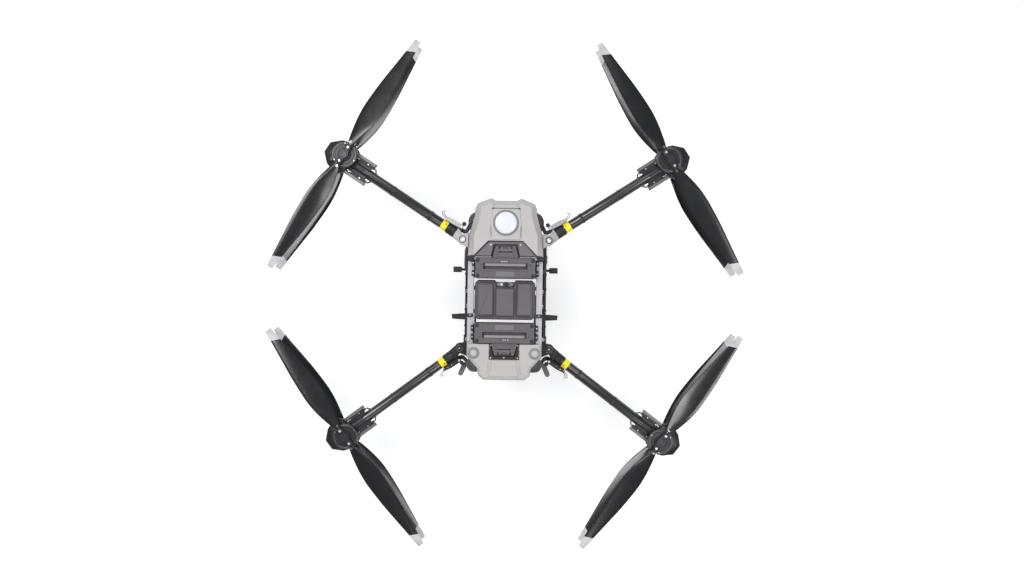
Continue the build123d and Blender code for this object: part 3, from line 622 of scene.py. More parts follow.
def make_battery(end):
    to = AIRFRAME @ BATTERY_PLACES[end]
    body = "battery_" + end
    z = BATTERY_Z
    bm = bmesh.new()
    add_stack(bm, rounded(rect(-153.8, 153.8, 0.2, 103.8), 8, 4), [(486, 2), (489, 0), (z - 3, 0), (z, 3)])
    case = finish(body + "_case", bm, body, "battery", to)
    cuts = []
    for x0, x1, y0, y1, depth in ((-113, 113, 46, 78, 26), (-114, 114, 6, 38, 3), (-155, -122, 41, 56, 2.5),
                                  (122, 155, 41, 56, 2.5)):
        bm = bmesh.new()
        add_block(bm, x0, x1, y0, y1, z - depth, z + 5)
        cuts.append(bm)
    carve(case, to, *cuts)
    soften(case, 1.2)
    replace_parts(case, body)

    bm = bmesh.new()
    add_stack(bm, rounded([(-68, 100), (-50, 166), (50, 166), (68, 100)], 6, 4),
              [(641, 0), (z - 13.6, 0), (z - 12, 1.6)])
    tongue = finish(body + "_tongue", bm, body, "battery", to)
    pocket = bmesh.new()
    add_block(pocket, -36, 36, 132, 170, 648, 672)
    carve(tongue, to, pocket)
    bm = bmesh.new()
    add_tube(bm, [(-36, 142, 660), (0, 142, 660), (36, 142, 660)], 2, 12)
    finish(body + "_latch_pin", bm, body, "steel", to)
    bm = bmesh.new()
    for side in (-1, 1):
        add_stack(bm, rounded([(side * 42 - 5, 118), (side * 38 - 5, 152), (side * 38 + 5, 152),
                               (side * 42 + 5, 118)], 3, 3),
                  [(z - 13, 0), (z - 9, 0), (z - 8, 1)])
        add_stack(bm, rounded(rect(side * 44 - 22, side * 44 + 22, 84, 100), 4, 4),
                  [(z - 2, 0), (z + 0.6, 0), (z + 1.2, 0.8)])
    finish(body + "_tongue_ribs", bm, body, "battery", to, bevel=0.6)

    bm = bmesh.new()
    add_stack(bm, rect(-104, 104, 61.5, 77), [(z - 14, 1.5), (z - 12, 0), (z - 4, 0), (z - 1.6, 2.4)])
    finish(body + "_handle", bm, body, "handle", to, bevel=1.5, segments=3)
    bm = bmesh.new()
    for side in (-1, 1):
        add_block(bm, side * 108.4 - 4.4, side * 108.4 + 4.4, 60, 78, z - 16, z - 0.8, 1.5)
    finish(body + "_handle_ends", bm, body, "black", to, bevel=0.6)
    bm = bmesh.new()
    add_stack(bm, rect(-48, 48, 8, 36), [(z - 4, 0), (z - 2, 0), (z - 1, 1)])
    finish(body + "_panel", bm, body, "battery_light", to, bevel=0.5)
    bm = bmesh.new()
    for side in (-1, 1):
        for y in (13, 91):
            add_lathe(bm, [(0, z - 6), (10.5, z - 6), (10.5, z + 0.4), (9.5, z + 1.4), (7.2, z + 1.4),
                           (6.8, z + 0.5),
                           (4.4, z + 0.5), (4.0, z + 1.4), (0.3, z + 1.4)], (side * 140, y, 0), count=40)
        add_lathe(bm, [(0, z - 4), (3.4, z - 4), (3.4, z + 0.5), (0.3, z + 0.5)], (side * 124, 69, 0), count=24)
    finish(body + "_bosses", bm, body, "dark", to)
    bm = bmesh.new()
    for k in range(9):
        level = 506 + 16 * k
        for side in (-1, 1):
            add_block(bm, -118, 118, 101.5 if side > 0 else 0.0, 104.0 if side > 0 else 2.5, level,
                      level + 7, 0.8)
    finish(body + "_side_ribs", bm, body, "battery", to)
    for k in range(4):
        bm = bmesh.new()
        add_block(bm, -21 + 12 * k, -15 + 12 * k, 84, 87, z - 1, z + 0.5)
        finish(f"{body}_charge_lamp_{k}", bm, body, "lamp" if k < 3 else "black", to)


def make_battery_latch(end):
    """Paddle with a scooped finger lip and two side wings."""
    to = AIRFRAME @ BATTERY_PLACES[end]
    body = "battery_latch_" + end
    bm = bmesh.new()
    add_stack(bm, rounded(rect(-26, 26, 137, 160), 4, 4), [(652, 1), (653, 0), (666, 0), (668, 2)])
    paddle = finish(body + "_paddle", bm, body, "deck", to)
    scoop, bore = bmesh.new(), bmesh.new()
    add_stack(scoop, rounded(rect(-15, 15, 149, 157), 3, 3), [(661, 1.5), (669.4, 0)])
    add_lathe(bore, [(2.1, -40), (2.1, 40)], (0, 142, 660), "X", 16)
    carve(paddle, to, scoop, bore)
    bm = bmesh.new()
    for side in (-1, 1):
        add_block(bm, side * 29.5 - 3.2, side * 29.5 + 3.2, 145, 152, 655, 664, 1)
        add_tube(bm, [(side * 10, 139, 668), (side * 19, 146, 668), (side * 20, 157, 667)], 1.5, 10)
    finish(body + "_wings", bm, body, "deck", to, bevel=0.5)
    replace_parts(paddle, body)


# Tank
TANK_SHOULDER = 648.0
NECK_X, NECK_Y = 6.0, 79.0


def make_tank():
    half = [(50, 91), (54, 100.8), (138, 100.8), (153.8, 85), (153.8, -85), (138, -100.8)]
    bm = bmesh.new()
    add_stack(bm, both_sides(half), [(300, 7), (303, 3), (309, 0), (636, 0), (644, 1.6), (TANK_SHOULDER, 5)])
    body = finish("tank_body", bm, "tank", "tank_rim")
    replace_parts(body, "tank")
    well = bmesh.new()
    add_block(well, -47, 47, 66, 120, 631, 700, 6)
    carve(body, AIRFRAME, well)
    soften(body, 2.2, 3, 24)

    bm = bmesh.new()
    for side in (-1, 1):
        outline = rounded([(side * x, y) for x, y in ((58, -84), (58, 88), (132, 88), (140, 78), (140, -76),
                                                      (134, -84))][::side],
                          6, 3)
        add_stack(bm, outline, [(640, 0), (652, 0), (661, 2.2), (665.5, 5), (667.6, 9)])
    weigh(finish("tank_side_panels", bm, "tank", "tank", crease=24))
    bm = bmesh.new()
    add_stack(bm, rounded(rect(-47, 47, -84, 60), 6, 3), [(640, 0), (651, 0), (657, 2), (660, 5)])
    weigh(finish("tank_centre_panel", bm, "tank", "tank", crease=24))
    bm = bmesh.new()
    for side in (-1, 1):
        add_block(bm, side * 52.5 - 3, side * 52.5 + 3, -92, 58, 640, 650.5, 2)
    add_block(bm, -134, 134, -97, -90, 640, 651.5, 3)
    finish("tank_grooves", bm, "tank", "tank_rim", bevel=1.0)
    bm = bmesh.new()
    for level in (340, 420, 500, 580):
        add_stack(bm, both_sides(half), [(level, 0.5), (level + 2, -1.2), (level + 10, -1.2),
                                         (level + 12, 0.5)])
    finish("tank_ribs", bm, "tank", "tank_rim", bevel=1.5, segments=2)

    bm = bmesh.new()
    add_stack(bm, rounded(both_sides([(30, 91), (44, 84), (44, 74), (30, 68)]), 4, 3),
              [(630, 0), (654, 0), (656, 1.6)])
    finish("filler_block", bm, "tank", "deck", bevel=0.6)
    bm = bmesh.new()
    add_lathe(bm, [(11.4, 650), (11.4, 658.6), (10.6, 659), (8.4, 659), (8, 658.4), (8, 650)],
              (NECK_X, NECK_Y, 0),
              closed=True)
    finish("filler_neck", bm, "tank", "black")
    bm = bmesh.new()
    add_lathe(bm, [(0, 655), (8, 655), (8, 656.6), (0.3, 656.6)], (NECK_X, NECK_Y, 0))
    finish("filler_mouth", bm, "tank", "lens")
    bm = bmesh.new()
    add_lathe(bm, [(0, 654), (5.6, 654), (5.6, 657.2), (4, 658.4), (0.3, 658.8)], (-18, 79, 0), count=28)
    finish("tank_lamp", bm, "tank", "lamp")
    bm = bmesh.new()
    for x in (-34, 34):
        add_screw(bm, x, 79, 655.6, 3.4, 2.4)
    finish("filler_screws", bm, "tank", "steel")

    teeth = 24
    bm = bmesh.new()
    rings = []
    for z, trim in ((659.3, 0.4), (660.2, 0), (665.4, 0), (666.3, 1.0)):
        ring = []
        for k in range(teeth * 4):
            a = 2 * pi * k / (teeth * 4)
            r = 12 - trim - (0.9 if k % 4 < 2 else 0)
            ring.append((NECK_X + r * cos(a), NECK_Y + r * sin(a), z))
        rings.append(ring)
    rings += [[(NECK_X + r * cos(2 * pi * k / 96), NECK_Y + r * sin(2 * pi * k / 96), z) for k in range(96)]
              for r, z in ((7.6, 666.3), (7.0, 665.2), (3.0, 665.2), (2.6, 666.0))]
    add_rings(bm, rings)
    add_lathe(bm, [(0, 657), (7.6, 657), (7.6, 659.6), (0.3, 659.6)], (NECK_X, NECK_Y, 0))
    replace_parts(finish("filler_cap", bm, "tank_cap", "black"), "tank_cap")


# Arms: drawn with the fold axis at the origin, +X outwards and +Y to the latch side
BOLT_R = 40.0                  # blade bolts, from the rotor axis
BLADE_R = 685.8
TIP_R = 622.0                  # where a blade's pale tip begins
COLLAR_R = 29.0
LATCH_X, LATCH_Y = 40.0, 50.0
BELL_R = 66.0
BELL_TOP = 72.0


class Arm:
    def __init__(self, corner):
        self.corner = corner
        self.body = "arm_" + corner
        self.front = corner in FRONT
        self.hand = 1 if corner in ("fr", "rl") else -1
        pivot = Vector(JOINTS["arm_fold_" + corner]["pos_m"])
        top = Vector(JOINTS["rotor_spin_top_" + corner]["pos_m"])
        low = Vector(JOINTS["rotor_spin_bottom_" + corner]["pos_m"])
        span = top - pivot
        self.length = sqrt(span.x ** 2 + span.y ** 2 - (ROTOR_OFFSET * MM) ** 2) / MM
        angle = atan2(span.y, span.x) - self.hand * atan2(ROTOR_OFFSET, self.length)
        self.to = (Matrix.Translation((pivot.x, pivot.y, (top.z + low.z) / 2)) @ Matrix.Rotation(angle, 4, "Z")
                   @ Matrix.Diagonal((1, self.hand, 1, 1)) @ Matrix.Scale(MM, 4))
        self.hub = self.to @ Matrix.Translation((self.length, ROTOR_OFFSET, 0))

    def piece(self, name, bm, look, to=None, **shape):
        return finish(f"{name}_{self.corner}", bm, self.body, look, to or self.to, **shape)


def unwrap_tube(piece, to):
    """UVs on a tube along the arm's X axis, in units of one 3 mm tow."""
    mesh = piece.data
    uv = mesh.uv_layers.new(name="tows").data
    back = to.inverted()
    for face in mesh.polygons:
        angles = [atan2((back @ mesh.vertices[v].co).z, (back @ mesh.vertices[v].co).y - TUBE_OFFSET)
                  for v in face.vertices]
        if max(angles) - min(angles) > pi:
            angles = [a + 2 * pi if a < 0 else a for a in angles]
        for loop, a in zip(face.loop_indices, angles):
            x = (back @ mesh.vertices[mesh.loops[loop].vertex_index].co).x
            uv[loop].uv = (x / 3.0, a * TUBE_R / 3.0)


def make_tube(arm):
    end = arm.length - 30
    centre = (0, TUBE_OFFSET, 0)
    bm = bmesh.new()
    add_lathe(bm, [(24, 51), (TUBE_R - 0.6, 51), (TUBE_R, 52), (TUBE_R, end - 1), (24, end)], centre, "X", 72)
    tube = arm.piece("arm_tube", bm, "carbon")
    unwrap_tube(tube, arm.to)
    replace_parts(tube, "arm_" + arm.corner)
    bm = bmesh.new()
    add_lathe(bm, [(TUBE_R, 103), (TUBE_R + 0.7, 103.3), (TUBE_R + 0.7, 133.7), (TUBE_R, 134)], centre, "X",
              72, True)
    arm.piece("marker_band", bm, "yellow")
    bm = bmesh.new()
    for sign in (-1, 1):
        add_lathe(bm, [(0, 24), (4.6, 24), (4.6, 25.8), (0, 25.9)],
                  (112, TUBE_OFFSET + 9, 0 if sign > 0 else -50.9),
                  count=24)
    arm.piece("marker_dot", bm, "red")
    # Sleeve where the tube enters the motor mount, and the clip that carries the wires
    bm = bmesh.new()
    for x0, x1, grow in ((end - 96, end - 30, 1.6), (198, 212, 1.4), (430, 440, 1.2)):
        add_lathe(bm, [(TUBE_R - 1, x0), (TUBE_R + grow, x0 + 0.8), (TUBE_R + grow, x1 - 0.8),
                       (TUBE_R - 1, x1)],
                  centre, "X", 72, True)
    arm.piece("tube_sleeves", bm, "pod")


def make_knuckle(arm):
    look = "cast" if arm.front else "cast_black"
    dark = "cast_black"
    half = 33.2
    bm = bmesh.new()
    add_lathe(bm, [(15.1, -half), (27, -half), (27, half), (15.1, half)], count=56, closed=True)
    arm.piece("knuckle_eye", bm, look, bevel=0.8)
    bm = bmesh.new()
    web = [(18, -23.5), (20, 23.5), (50, TUBE_OFFSET + 29), (50, TUBE_OFFSET - 29)]
    add_stack(bm, web, [(-half, 1), (-half + 1, 0), (half - 1, 0), (half, 1)])
    arm.piece("knuckle_web", bm, look, bevel=1.2)
    bm = bmesh.new()
    add_lathe(bm, [(TUBE_R, 46), (28, 46), (COLLAR_R, 47), (COLLAR_R, 79), (27.6, 80), (27.6, 83),
                   (COLLAR_R, 84),
                   (COLLAR_R, 95), (28.2, 96.5), (TUBE_R, 96.5)], (0, TUBE_OFFSET, 0), "X", 64, True)
    arm.piece("knuckle_collar", bm, dark)
    bm = bmesh.new()
    top = TUBE_OFFSET + COLLAR_R + 11
    add_stack(bm, rounded([(30, top - 20), (30, top), (118, top), (128, top - 12), (128, top - 20)], 3, 3),
              [(-6, 1), (-5, 0), (10.5, 0), (11.5, 1)])
    arm.piece("latch_seat", bm, dark, bevel=0.6)
    bm = bmesh.new()
    add_lathe(bm, [(0, 8), (3.95, 8), (3.95, 27), (0, 27)], (LATCH_X, LATCH_Y, 0), count=24)
    add_screw(bm, LATCH_X, LATCH_Y, 26.4, 6.5, 3.2)
    for x in (62, 112):
        add_screw(bm, x, top - 6, 11.2, 2.6, 0.7)
    arm.piece("latch_pin", bm, "bolt")
    bm = bmesh.new()
    for x in (53, 66, 89):
        for sign in (-1, 1):
            add_lathe(bm, [(0, COLLAR_R - 2), (3, COLLAR_R - 2), (3, COLLAR_R + 1.4), (0.3, COLLAR_R + 1.6)],
                      (x, TUBE_OFFSET + 11 * sign, -2.4), count=16)
    arm.piece("collar_screws", bm, "cast_black")


def make_bracket_pads():
    """Raised pads on the brackets' upper ears, each around an open pin."""
    for corner in CORNERS:
        arm = Arm(corner)
        top = 40.7
        bm = bmesh.new()
        outline = rounded([(16, -13), (16, 17), (44, 16), (46, -12)], 3, 3)
        add_stack(bm, outline, [(top - 1, 0), (top + 0.4, 0), (top + 1.1, 0.8)])
        finish("bracket_pad_" + corner, bm, "airframe", "cast" if arm.front else "cast_black", arm.to)
        bm = bmesh.new()
        if arm.front:
            add_lathe(bm, [(13.4, top - 2), (18.4, top - 2), (18.4, top + 1.6), (17.6, top + 2.4),
                           (14.2, top + 2.4),
                           (13.4, top + 1.8)], count=48, closed=True)
        else:
            add_lathe(bm, [(0, top - 2), (17, top - 2), (17, top + 2.4), (15.6, top + 3.4),
                           (0.4, top + 3.4)], count=48)
        finish("pin_collar_" + corner, bm, "airframe", "dark", arm.to)
        if not arm.front:
            bm = bmesh.new()
            add_screw(bm, 0, 0, top + 3.2, 3.6, 1.6)
            finish("pin_screw_" + corner, bm, "airframe", "bolt", arm.to)


def make_latch(arm):
    body = "latch_lever_" + arm.corner
    to = arm.to @ Matrix.Translation((LATCH_X, LATCH_Y, 0))
    bm = bmesh.new()
    lever = [(-9, -9), (-9, 9), (0, 12), (60, 9), (98, 1), (98, -10), (88, -16), (52, -15)]
    add_stack(bm, rounded(lever, 3, 3), [(12.2, 0.8), (13, 0), (18.6, 0), (20, 1.4)])
    rib = [(8, -7.5), (8, 1), (84, -8), (86, -12.5)]
    add_stack(bm, rounded(rib, 1.5, 2), [(19, 0), (23.6, 0.4), (25, 1.8)])
    plate = finish(body + "_plate", bm, body, "cast" if arm.front else "cast_black", to)
    hole = bmesh.new()
    add_lathe(hole, [(4.1, 0), (4.1, 40)], count=24)
    carve(plate, to, hole)
    soften(plate, 0.5)
    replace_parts(plate, body)
    bm = bmesh.new()
    for dx, dy in ((0, 0), (-8, 6)):
        add_tube(bm, [(90 + dx, -5 + dy, 16), (104 + dx, -5 + dy, 16), (118 + dx, 0 + dy, 16),
                      (125 + dx, 8 + dy, 16),
                      (123 + dx, 17 + dy, 16)], 2.5, 12)
    finish(body + "_hooks", bm, body, "cast", to)
    bm = bmesh.new()
    add_lathe(bm, [(0, 12.4), (10.4, 12.4), (11, 13), (11, 19.6), (10, 20.8), (4, 21.2), (0.4, 21.2)],
              (-3, 20, 0),
              count=36)
    finish(body + "_catch", bm, body, "cast_black", to)
    bm = bmesh.new()
    for x, y in ((46, -3), (70, -3.5), (90, -7)):
        add_lathe(bm, [(0, 19), (2.6, 19), (2.6, 21), (1.8, 21.9), (0.3, 22)], (x, y, 0), count=18)
    finish(body + "_rivets", bm, body, "bolt", to)


def make_conduits():
    """Black wiring sleeves from under the covers into each arm's knuckle."""
    for corner in CORNERS:
        arm = Arm(corner)
        back = AIRFRAME.inverted() @ arm.to
        side = 1 if corner[1] == "r" else -1
        if arm.front:
            starts = [(side * 160, 400, 588), (side * 158, 392, 578), (side * 162, 404, 602)]
            joints = ((7, 42), (25, 36), (50, 34))
        else:
            starts = [(side * 150, -350, 446), (side * 156, -338, 438), (side * 160, -345, 456)]
            joints = ((16, 46), (46, 36), (70, 27))
        for k, (start, lift) in enumerate(zip(starts, (-14, -22, -18))):
            bm = bmesh.new()
            start = Vector(start)
            near, into, end = (back @ Vector((x + 4 * k, y + 4 * k, lift)) for x, y in joints)
            if arm.front:
                middle = Vector((side * (185 + 3 * k), 375 + 4 * k, (start.z + near.z) / 2))
            else:
                middle = (start * 0.55 + near * 0.45) + Vector((side * 4, -8, -4 * k))
            add_tube(bm, [start, middle, near, into, end], (8.0, 5.0, 4.0)[k], 16, 8)
            sleeve = finish(f"conduit_{k}_{corner}", bm, None, "hose")
            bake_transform(sleeve)


# Motor pods: drawn with the rotor axis at the origin
CASE_X0, CASE_X1 = -157, -41     # a speed controller along the arm
def make_pod(arm):
    y = TUBE_OFFSET - ROTOR_OFFSET
    to = arm.hub @ Matrix.Translation((0, y, 0))
    half = [(-40, 34), (-40, 62), (-22, 74), (36, 80), (60, 71), (104, 28.6)]
    outline = rounded(half + [(px, -py) for px, py in reversed(half)], 7, 3)
    bm = bmesh.new()
    add_stack(bm, outline, [(-27, 10), (-26, 7.5), (-20, 0.6), (-18, 0), (18, 0), (20, 0.6), (26, 7.5),
                            (27, 10)])
    mount = arm.piece("motor_mount", bm, "pod", to, crease=25)
    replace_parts(mount, "motor_pod_" + arm.corner)
    bm = bmesh.new()
    add_lathe(bm, [(TUBE_R + 0.2, -72), (TUBE_R + 5, -72), (TUBE_R + 6, -71), (TUBE_R + 6, 10),
                   (TUBE_R + 0.2, 10)],
              (0, 0, 0), "X", 56, True)
    for x in (-20, -2):
        for sign in (-1, 1):
            add_block(bm, x, x + 6, sign * 76 - 7, sign * 76 + 7, -12, 12, 2)
    arm.piece("mount_sleeve", bm, "pod", to, bevel=0.8)
    bm = bmesh.new()
    for x, sy in ((92, 20), (58, 58), (30, 68), (-30, 56), (92, -20), (58, -58), (30, -68), (-30, -56)):
        add_screw(bm, x, sy, 18.4 if abs(sy) > 40 or x > 80 else 26, 3.6, 3.0)
    arm.piece("mount_screws", bm, "steel", to)
    bm = bmesh.new()
    for sign in (-1, 1):
        add_stack(bm, rounded([(44, sign * 30 - 22), (44, sign * 30 + 22), (60, sign * 30 + 16),
                               (60, sign * 30 - 16)], 3, 3),
                  [(26, 0), (28, 0.3), (28.8, 1)])
    arm.piece("mount_pads", bm, "pod", to)
    bm = bmesh.new()
    for sign in (-1, 1):
        add_lathe(bm, [(0, sign * 26.8), (50, sign * 26.8), (52, sign * 28.5), (52, sign * 32), (48, sign * 34),
                       (8, sign * 34), (8, sign * 56), (0, sign * 56)], count=64)
        for k in range(18):
            a = 2 * pi * k / 18
            add_lathe(bm, [(0, sign * 33), (2.6, sign * 33), (2.6, sign * 34.4), (0, sign * 34.4)],
                      (42 * cos(a), 42 * sin(a), 0), count=10)
    arm.piece("stators", bm, "bell", arm.hub)


def make_speed_controllers(arm):
    y = TUBE_OFFSET - ROTOR_OFFSET
    for number, sign in ((0, 1), (1, -1)):
        flip = Matrix.Diagonal((1, sign, 1, 1))
        to = arm.hub @ Matrix.Translation((0, y, 0)) @ flip
        tag = f"_{number}"
        bm = bmesh.new()
        add_stack(bm, rounded(rect(CASE_X0, CASE_X1, 33, 49), 2, 3), [(-20, 1), (-19, 0), (21, 0), (22, 1)])
        add_stack(bm, rounded(rect(CASE_X0 + 4, CASE_X1 - 4, 34.5, 47.5), 2, 3), [(21, 0), (24, 0), (25, 1)])
        for x in (-150, -122, -94, -66):
            add_block(bm, x, x + 8, 32.2, 33.4, -14, 14, 0)
        arm.piece("controller_case" + tag, bm, "pod", to, bevel=0.5)
        bm = bmesh.new()
        add_stack(bm, rect(CASE_X0 + 7, CASE_X1, 19, 33.4), [(14, 0.6), (15, 0), (19, 0), (20, 0.8)])
        arm.piece("controller_bridge" + tag, bm, "pod", to, bevel=0.5)
        bm = bmesh.new()
        add_block(bm, CASE_X0, CASE_X1, 48.8, 52, -24, 26)
        for k in range(11):
            z = -24 + 4.7 * k
            add_stack(bm, rect(CASE_X0, CASE_X1, 51.5, 64), [(z, 0.3), (z + 0.4, 0), (z + 1.8, 0), (z + 2.2, 0.3)])
        arm.piece("controller_fins" + tag, bm, "fins", to)
        bm = bmesh.new()
        for x, sy in ((-50, 39.5), (-58, 42), (-66, 39.5), (-122, 41)):
            add_screw(bm, x, sy, 25, 3.1, 2.0)
        arm.piece("controller_screws" + tag, bm, "bolt", to)
        bm = bmesh.new()
        for k, z in enumerate((-9, 0, 9)):
            add_tube(bm, [(-156, 40, z), (-166, 40, z), (-172, 33, z * 0.8), (-177, 27, z * 0.7),
                          (-186, 22.5, z * 0.6)],
                     2.8, 12)
        arm.piece("controller_leads" + tag, bm, "hose", to)
        bm = bmesh.new()
        add_stack(bm, rounded(rect(-156.5, -141, 36, 46), 2, 3), [(-16, 0), (16, 0)])
        add_stack(bm, rect(-120, -78, 37, 45), [(24.6, 0), (25.2, 0), (25.5, 0.4)])
        arm.piece("controller_label_plate" + tag, bm, "dark", to)


# Rotors: drawn with the rotor axis at the origin, for the upper one
def make_rotor(arm, level):
    body = f"rotor_hub_{level}_{arm.corner}"
    joint = JOINTS[f"rotor_spin_{level}_{arm.corner}"]
    centre = Vector(joint["pos_m"])
    flip = Matrix.Diagonal((1, 1, 1 if level == "top" else -1, 1))
    to = arm.hub @ Matrix.Rotation(radians(blade_turn(arm, level)), 4, "Z") @ flip
    origin = (centre.x, centre.y, centre.z)
    bm = bmesh.new()
    z = BELL_TOP
    add_lathe(bm, [(9, 36.5), (60, 36.5), (60, 35), (63.5, 35), (65.4, 36), (BELL_R, 38), (BELL_R, z - 3),
                   (65.2, z - 1.2), (63.4, z), (51.5, z), (50.4, z - 1.6), (47.2, z - 1.6), (46, z), (9, z)],
              count=96, closed=True)
    bell = finish(body + "_bell", bm, body, "bell", to, origin=origin)
    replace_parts(bell, body)
    bm = bmesh.new()
    add_lathe(bm, [(52.5, z - 1), (64, z - 1), (64, z - 0.1), (63, z + 0.5), (53.5, z + 0.5),
                   (52.5, z - 0.1)], count=96,
              closed=True)
    finish(body + "_ring", bm, body, "bell_ring", to, origin=origin)
    bm = bmesh.new()
    for k in range(24):
        spin = Matrix.Rotation(2 * pi * k / 24, 4, "Z")
        start = len(bm.verts)
        add_block(bm, BELL_R - 1.2, BELL_R + 0.25, -3.2, 3.2, 44, 62, 0)
        bm.verts.ensure_lookup_table()
        bmesh.ops.transform(bm, matrix=spin, verts=bm.verts[start:])
    finish(body + "_vents", bm, body, "dark", to)
    bm = bmesh.new()
    for k in range(3):
        a = radians(60 + 120 * k)
        add_screw(bm, 57 * cos(a), 57 * sin(a), z + 0.4, 2.6, 1.4)
    finish(body + "_bell_screws", bm, body, "steel", to)

    # Hub: lower clamp plate on a round boss, upper clamp plate with a dished cap
    bm = bmesh.new()
    add_lathe(bm, [(0, z - 1), (34, z - 1), (34, 75), (30, 78), (30, 83), (0, 83)], count=56)
    add_lathe(bm, [(0, 82), (20, 82), (20, 97), (0, 97)], count=48)
    add_stack(bm, slot_outline(54.5, 15), [(79.7, 0.8), (80.5, 0), (82.4, 0), (83.1, 0.8)])
    finish(body + "_lower_plate", bm, body, "pod", to, bevel=0.4)
    bm = bmesh.new()
    add_stack(bm, slot_outline(54.5, 15), [(96.9, 0.8), (97.7, 0), (99.6, 0), (100.3, 1.0)])
    for sign in (-1, 1):
        blade_side = [(sign * u, sign * v) for u, v in ((-24, -4), (-20, 14), (-9, 30), (7, 34), (16, 14),
                                                        (22, 0))]
        add_stack(bm, rounded(blade_side, 5, 3), [(97.2, 0), (100.5, 0), (101.4, 1.0)])
    finish(body + "_upper_plate", bm, body, "pod", to)
    bm = bmesh.new()
    add_lathe(bm, [(0, 96), (23, 96), (23, 101.6), (21.6, 103), (17, 103), (15.6, 101.5), (0.4, 101.5)],
              count=64)
    finish(body + "_cap", bm, body, "bell", to, origin=origin)
    bm = bmesh.new()
    for sign in (-1, 1):
        add_lathe(bm, [(0, 76.5), (7.2, 76.5), (7.2, 80.2), (0, 80.2)], (0, sign * BOLT_R, 0), count=6)
        add_lathe(bm, [(0, 76.6), (3.95, 76.6), (3.95, 100), (0, 100)], (0, sign * BOLT_R, 0), count=24)
    finish(body + "_bolts", bm, body, "steel", to)
    bm = bmesh.new()
    for sign in (-1, 1):
        add_lathe(bm, [(6.7, 100), (10.5, 100), (10.5, 100.8), (9.6, 101.6), (6.7, 101.6)],
                  (0, sign * BOLT_R, 0),
                  count=32, closed=True)
    finish(body + "_bolt_seats", bm, body, "dark", to)
    bm = bmesh.new()
    for sign in (-1, 1):
        add_screw(bm, 0, sign * BOLT_R, 100.2, 6.4, 2.8)
    finish(body + "_bolt_heads", bm, body, "bolt", to)


def blade_turn(arm, level):
    """How far a rotor rests from square to its arm, in degrees, read from its blade's joint."""
    hub = Vector(JOINTS[f"rotor_spin_{level}_{arm.corner}"]["pos_m"])
    bolt = Vector(JOINTS[f"blade_fold_{level}_a_{arm.corner}"]["pos_m"])
    local = arm.hub.inverted() @ bolt - arm.hub.inverted() @ hub
    return -atan2(local.x, local.y) * 180 / pi


STATIONS = [  # radius from the rotor axis, chord, thickness, pitch in degrees
    (56, 25, 12.4, 3), (84, 45, 12, 8), (124, 66, 11, 13), (170, 86, 10, 15), (212, 98, 9, 14.5),
    (262, 104, 8.5, 13), (330, 100, 7.5, 12), (410, 90, 7, 11), (492, 73, 6, 10), (574, 55, 5, 9),
    (640, 42, 4, 8), (BLADE_R - 0.6, 33, 3, 8)]
SECTION = [(-0.5, 0.0), (-0.3, 0.42), (0.0, 0.62), (0.3, 0.60), (0.47, 0.28), (0.5, 0.0), (0.42, -0.26),
           (0.1, -0.38), (-0.25, -0.28)]
SWEEP_BACK = 5.5


def closed_curve(points, steps):
    """Points round a closed Catmull-Rom curve."""
    out = []
    count = len(points)
    for i in range(count):
        a, b, c, d = (Vector(points[(i + k) % count]) for k in (-1, 0, 1, 2))
        for k in range(steps):
            t = k / steps
            out.append(0.5 * (2 * b + (c - a) * t + (2 * a - 5 * b + 4 * c - d) * t * t
                              + (3 * b - a - 3 * c + d) * t ** 3))
    return out


def blade_rows(steps=5):
    """The stations with smooth ones between them."""
    rows = []
    for i in range(len(STATIONS) - 1):
        span = [STATIONS[min(max(i + k, 0), len(STATIONS) - 1)] for k in (-1, 0, 1, 2)]
        for k in range(steps):
            t = k / steps
            rows.append([0.5 * (2 * b + (c - a) * t + (2 * a - 5 * b + 4 * c - d) * t * t
                                + (3 * b - a - 3 * c + d) * t ** 3) for a, b, c, d in zip(*span)])
    return rows + [list(STATIONS[-1])]


def make_blade(arm, level, letter):
    body = f"blade_{level}_{letter}_{arm.corner}"
    joint = JOINTS[f"blade_fold_{level}_{letter}_{arm.corner}"]
    local = arm.to.inverted() @ Vector(joint["pos_m"])
    way = 90 if letter == "a" else -90
    chord_way = 1 if level == "top" else -1
    to = (arm.to @ Matrix.Translation(local)
          @ Matrix.Rotation(radians(way + blade_turn(arm, level)), 4,
                            "Z") @ Matrix.Diagonal((1, chord_way, 1, 1)))
    outline = closed_curve(SECTION, 5)
    bm = bmesh.new()
    rings = []
    for radius, chord, thick, pitch in blade_rows():
        p = radians(pitch)
        back = SWEEP_BACK * radius / BLADE_R
        rings.append([(radius - BOLT_R, u * chord * cos(p) - w * thick * sin(p) - back,
                       u * chord * sin(p) + w * thick * cos(p)) for u, w in outline])
    add_rings(bm, rings)
    slant = Vector((cos(radians(24)), -sin(radians(24)), 0))
    line = Vector((TIP_R - BOLT_R, 0, 0))
    bmesh.ops.bisect_plane(bm, geom=bm.verts[:] + bm.edges[:] + bm.faces[:], plane_co=line, plane_no=slant)
    for face in bm.faces:
        face.material_index = 1 if (face.calc_center_median() - line).dot(slant) > 0 else 0
    blade = finish(body + "_skin", bm, body, ["blade", "tip"], to, crease=60)
    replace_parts(blade, body)
    bm = bmesh.new()
    grip = [(12.2 * cos(a), 12.2 * sin(a)) for a in (radians(270 - 10 * k) for k in range(19))] + [(34, 11),
                                                                                                   (34, -11)]
    add_stack(bm, grip, [(-6.3, 1.4), (-5, 0), (5, 0), (6.3, 1.4)])
    finish(body + "_root", bm, body, "pod", to)
    bm = bmesh.new()
    add_screw(bm, 29, 0, 6.0, 3.4, 2.0)
    add_lathe(bm, [(6, 6.2), (8.4, 6.2), (8.4, 6.9), (6, 6.9)], (29, 0, 0), count=24, closed=True)
    finish(body + "_root_screw", bm, body, "steel", to)


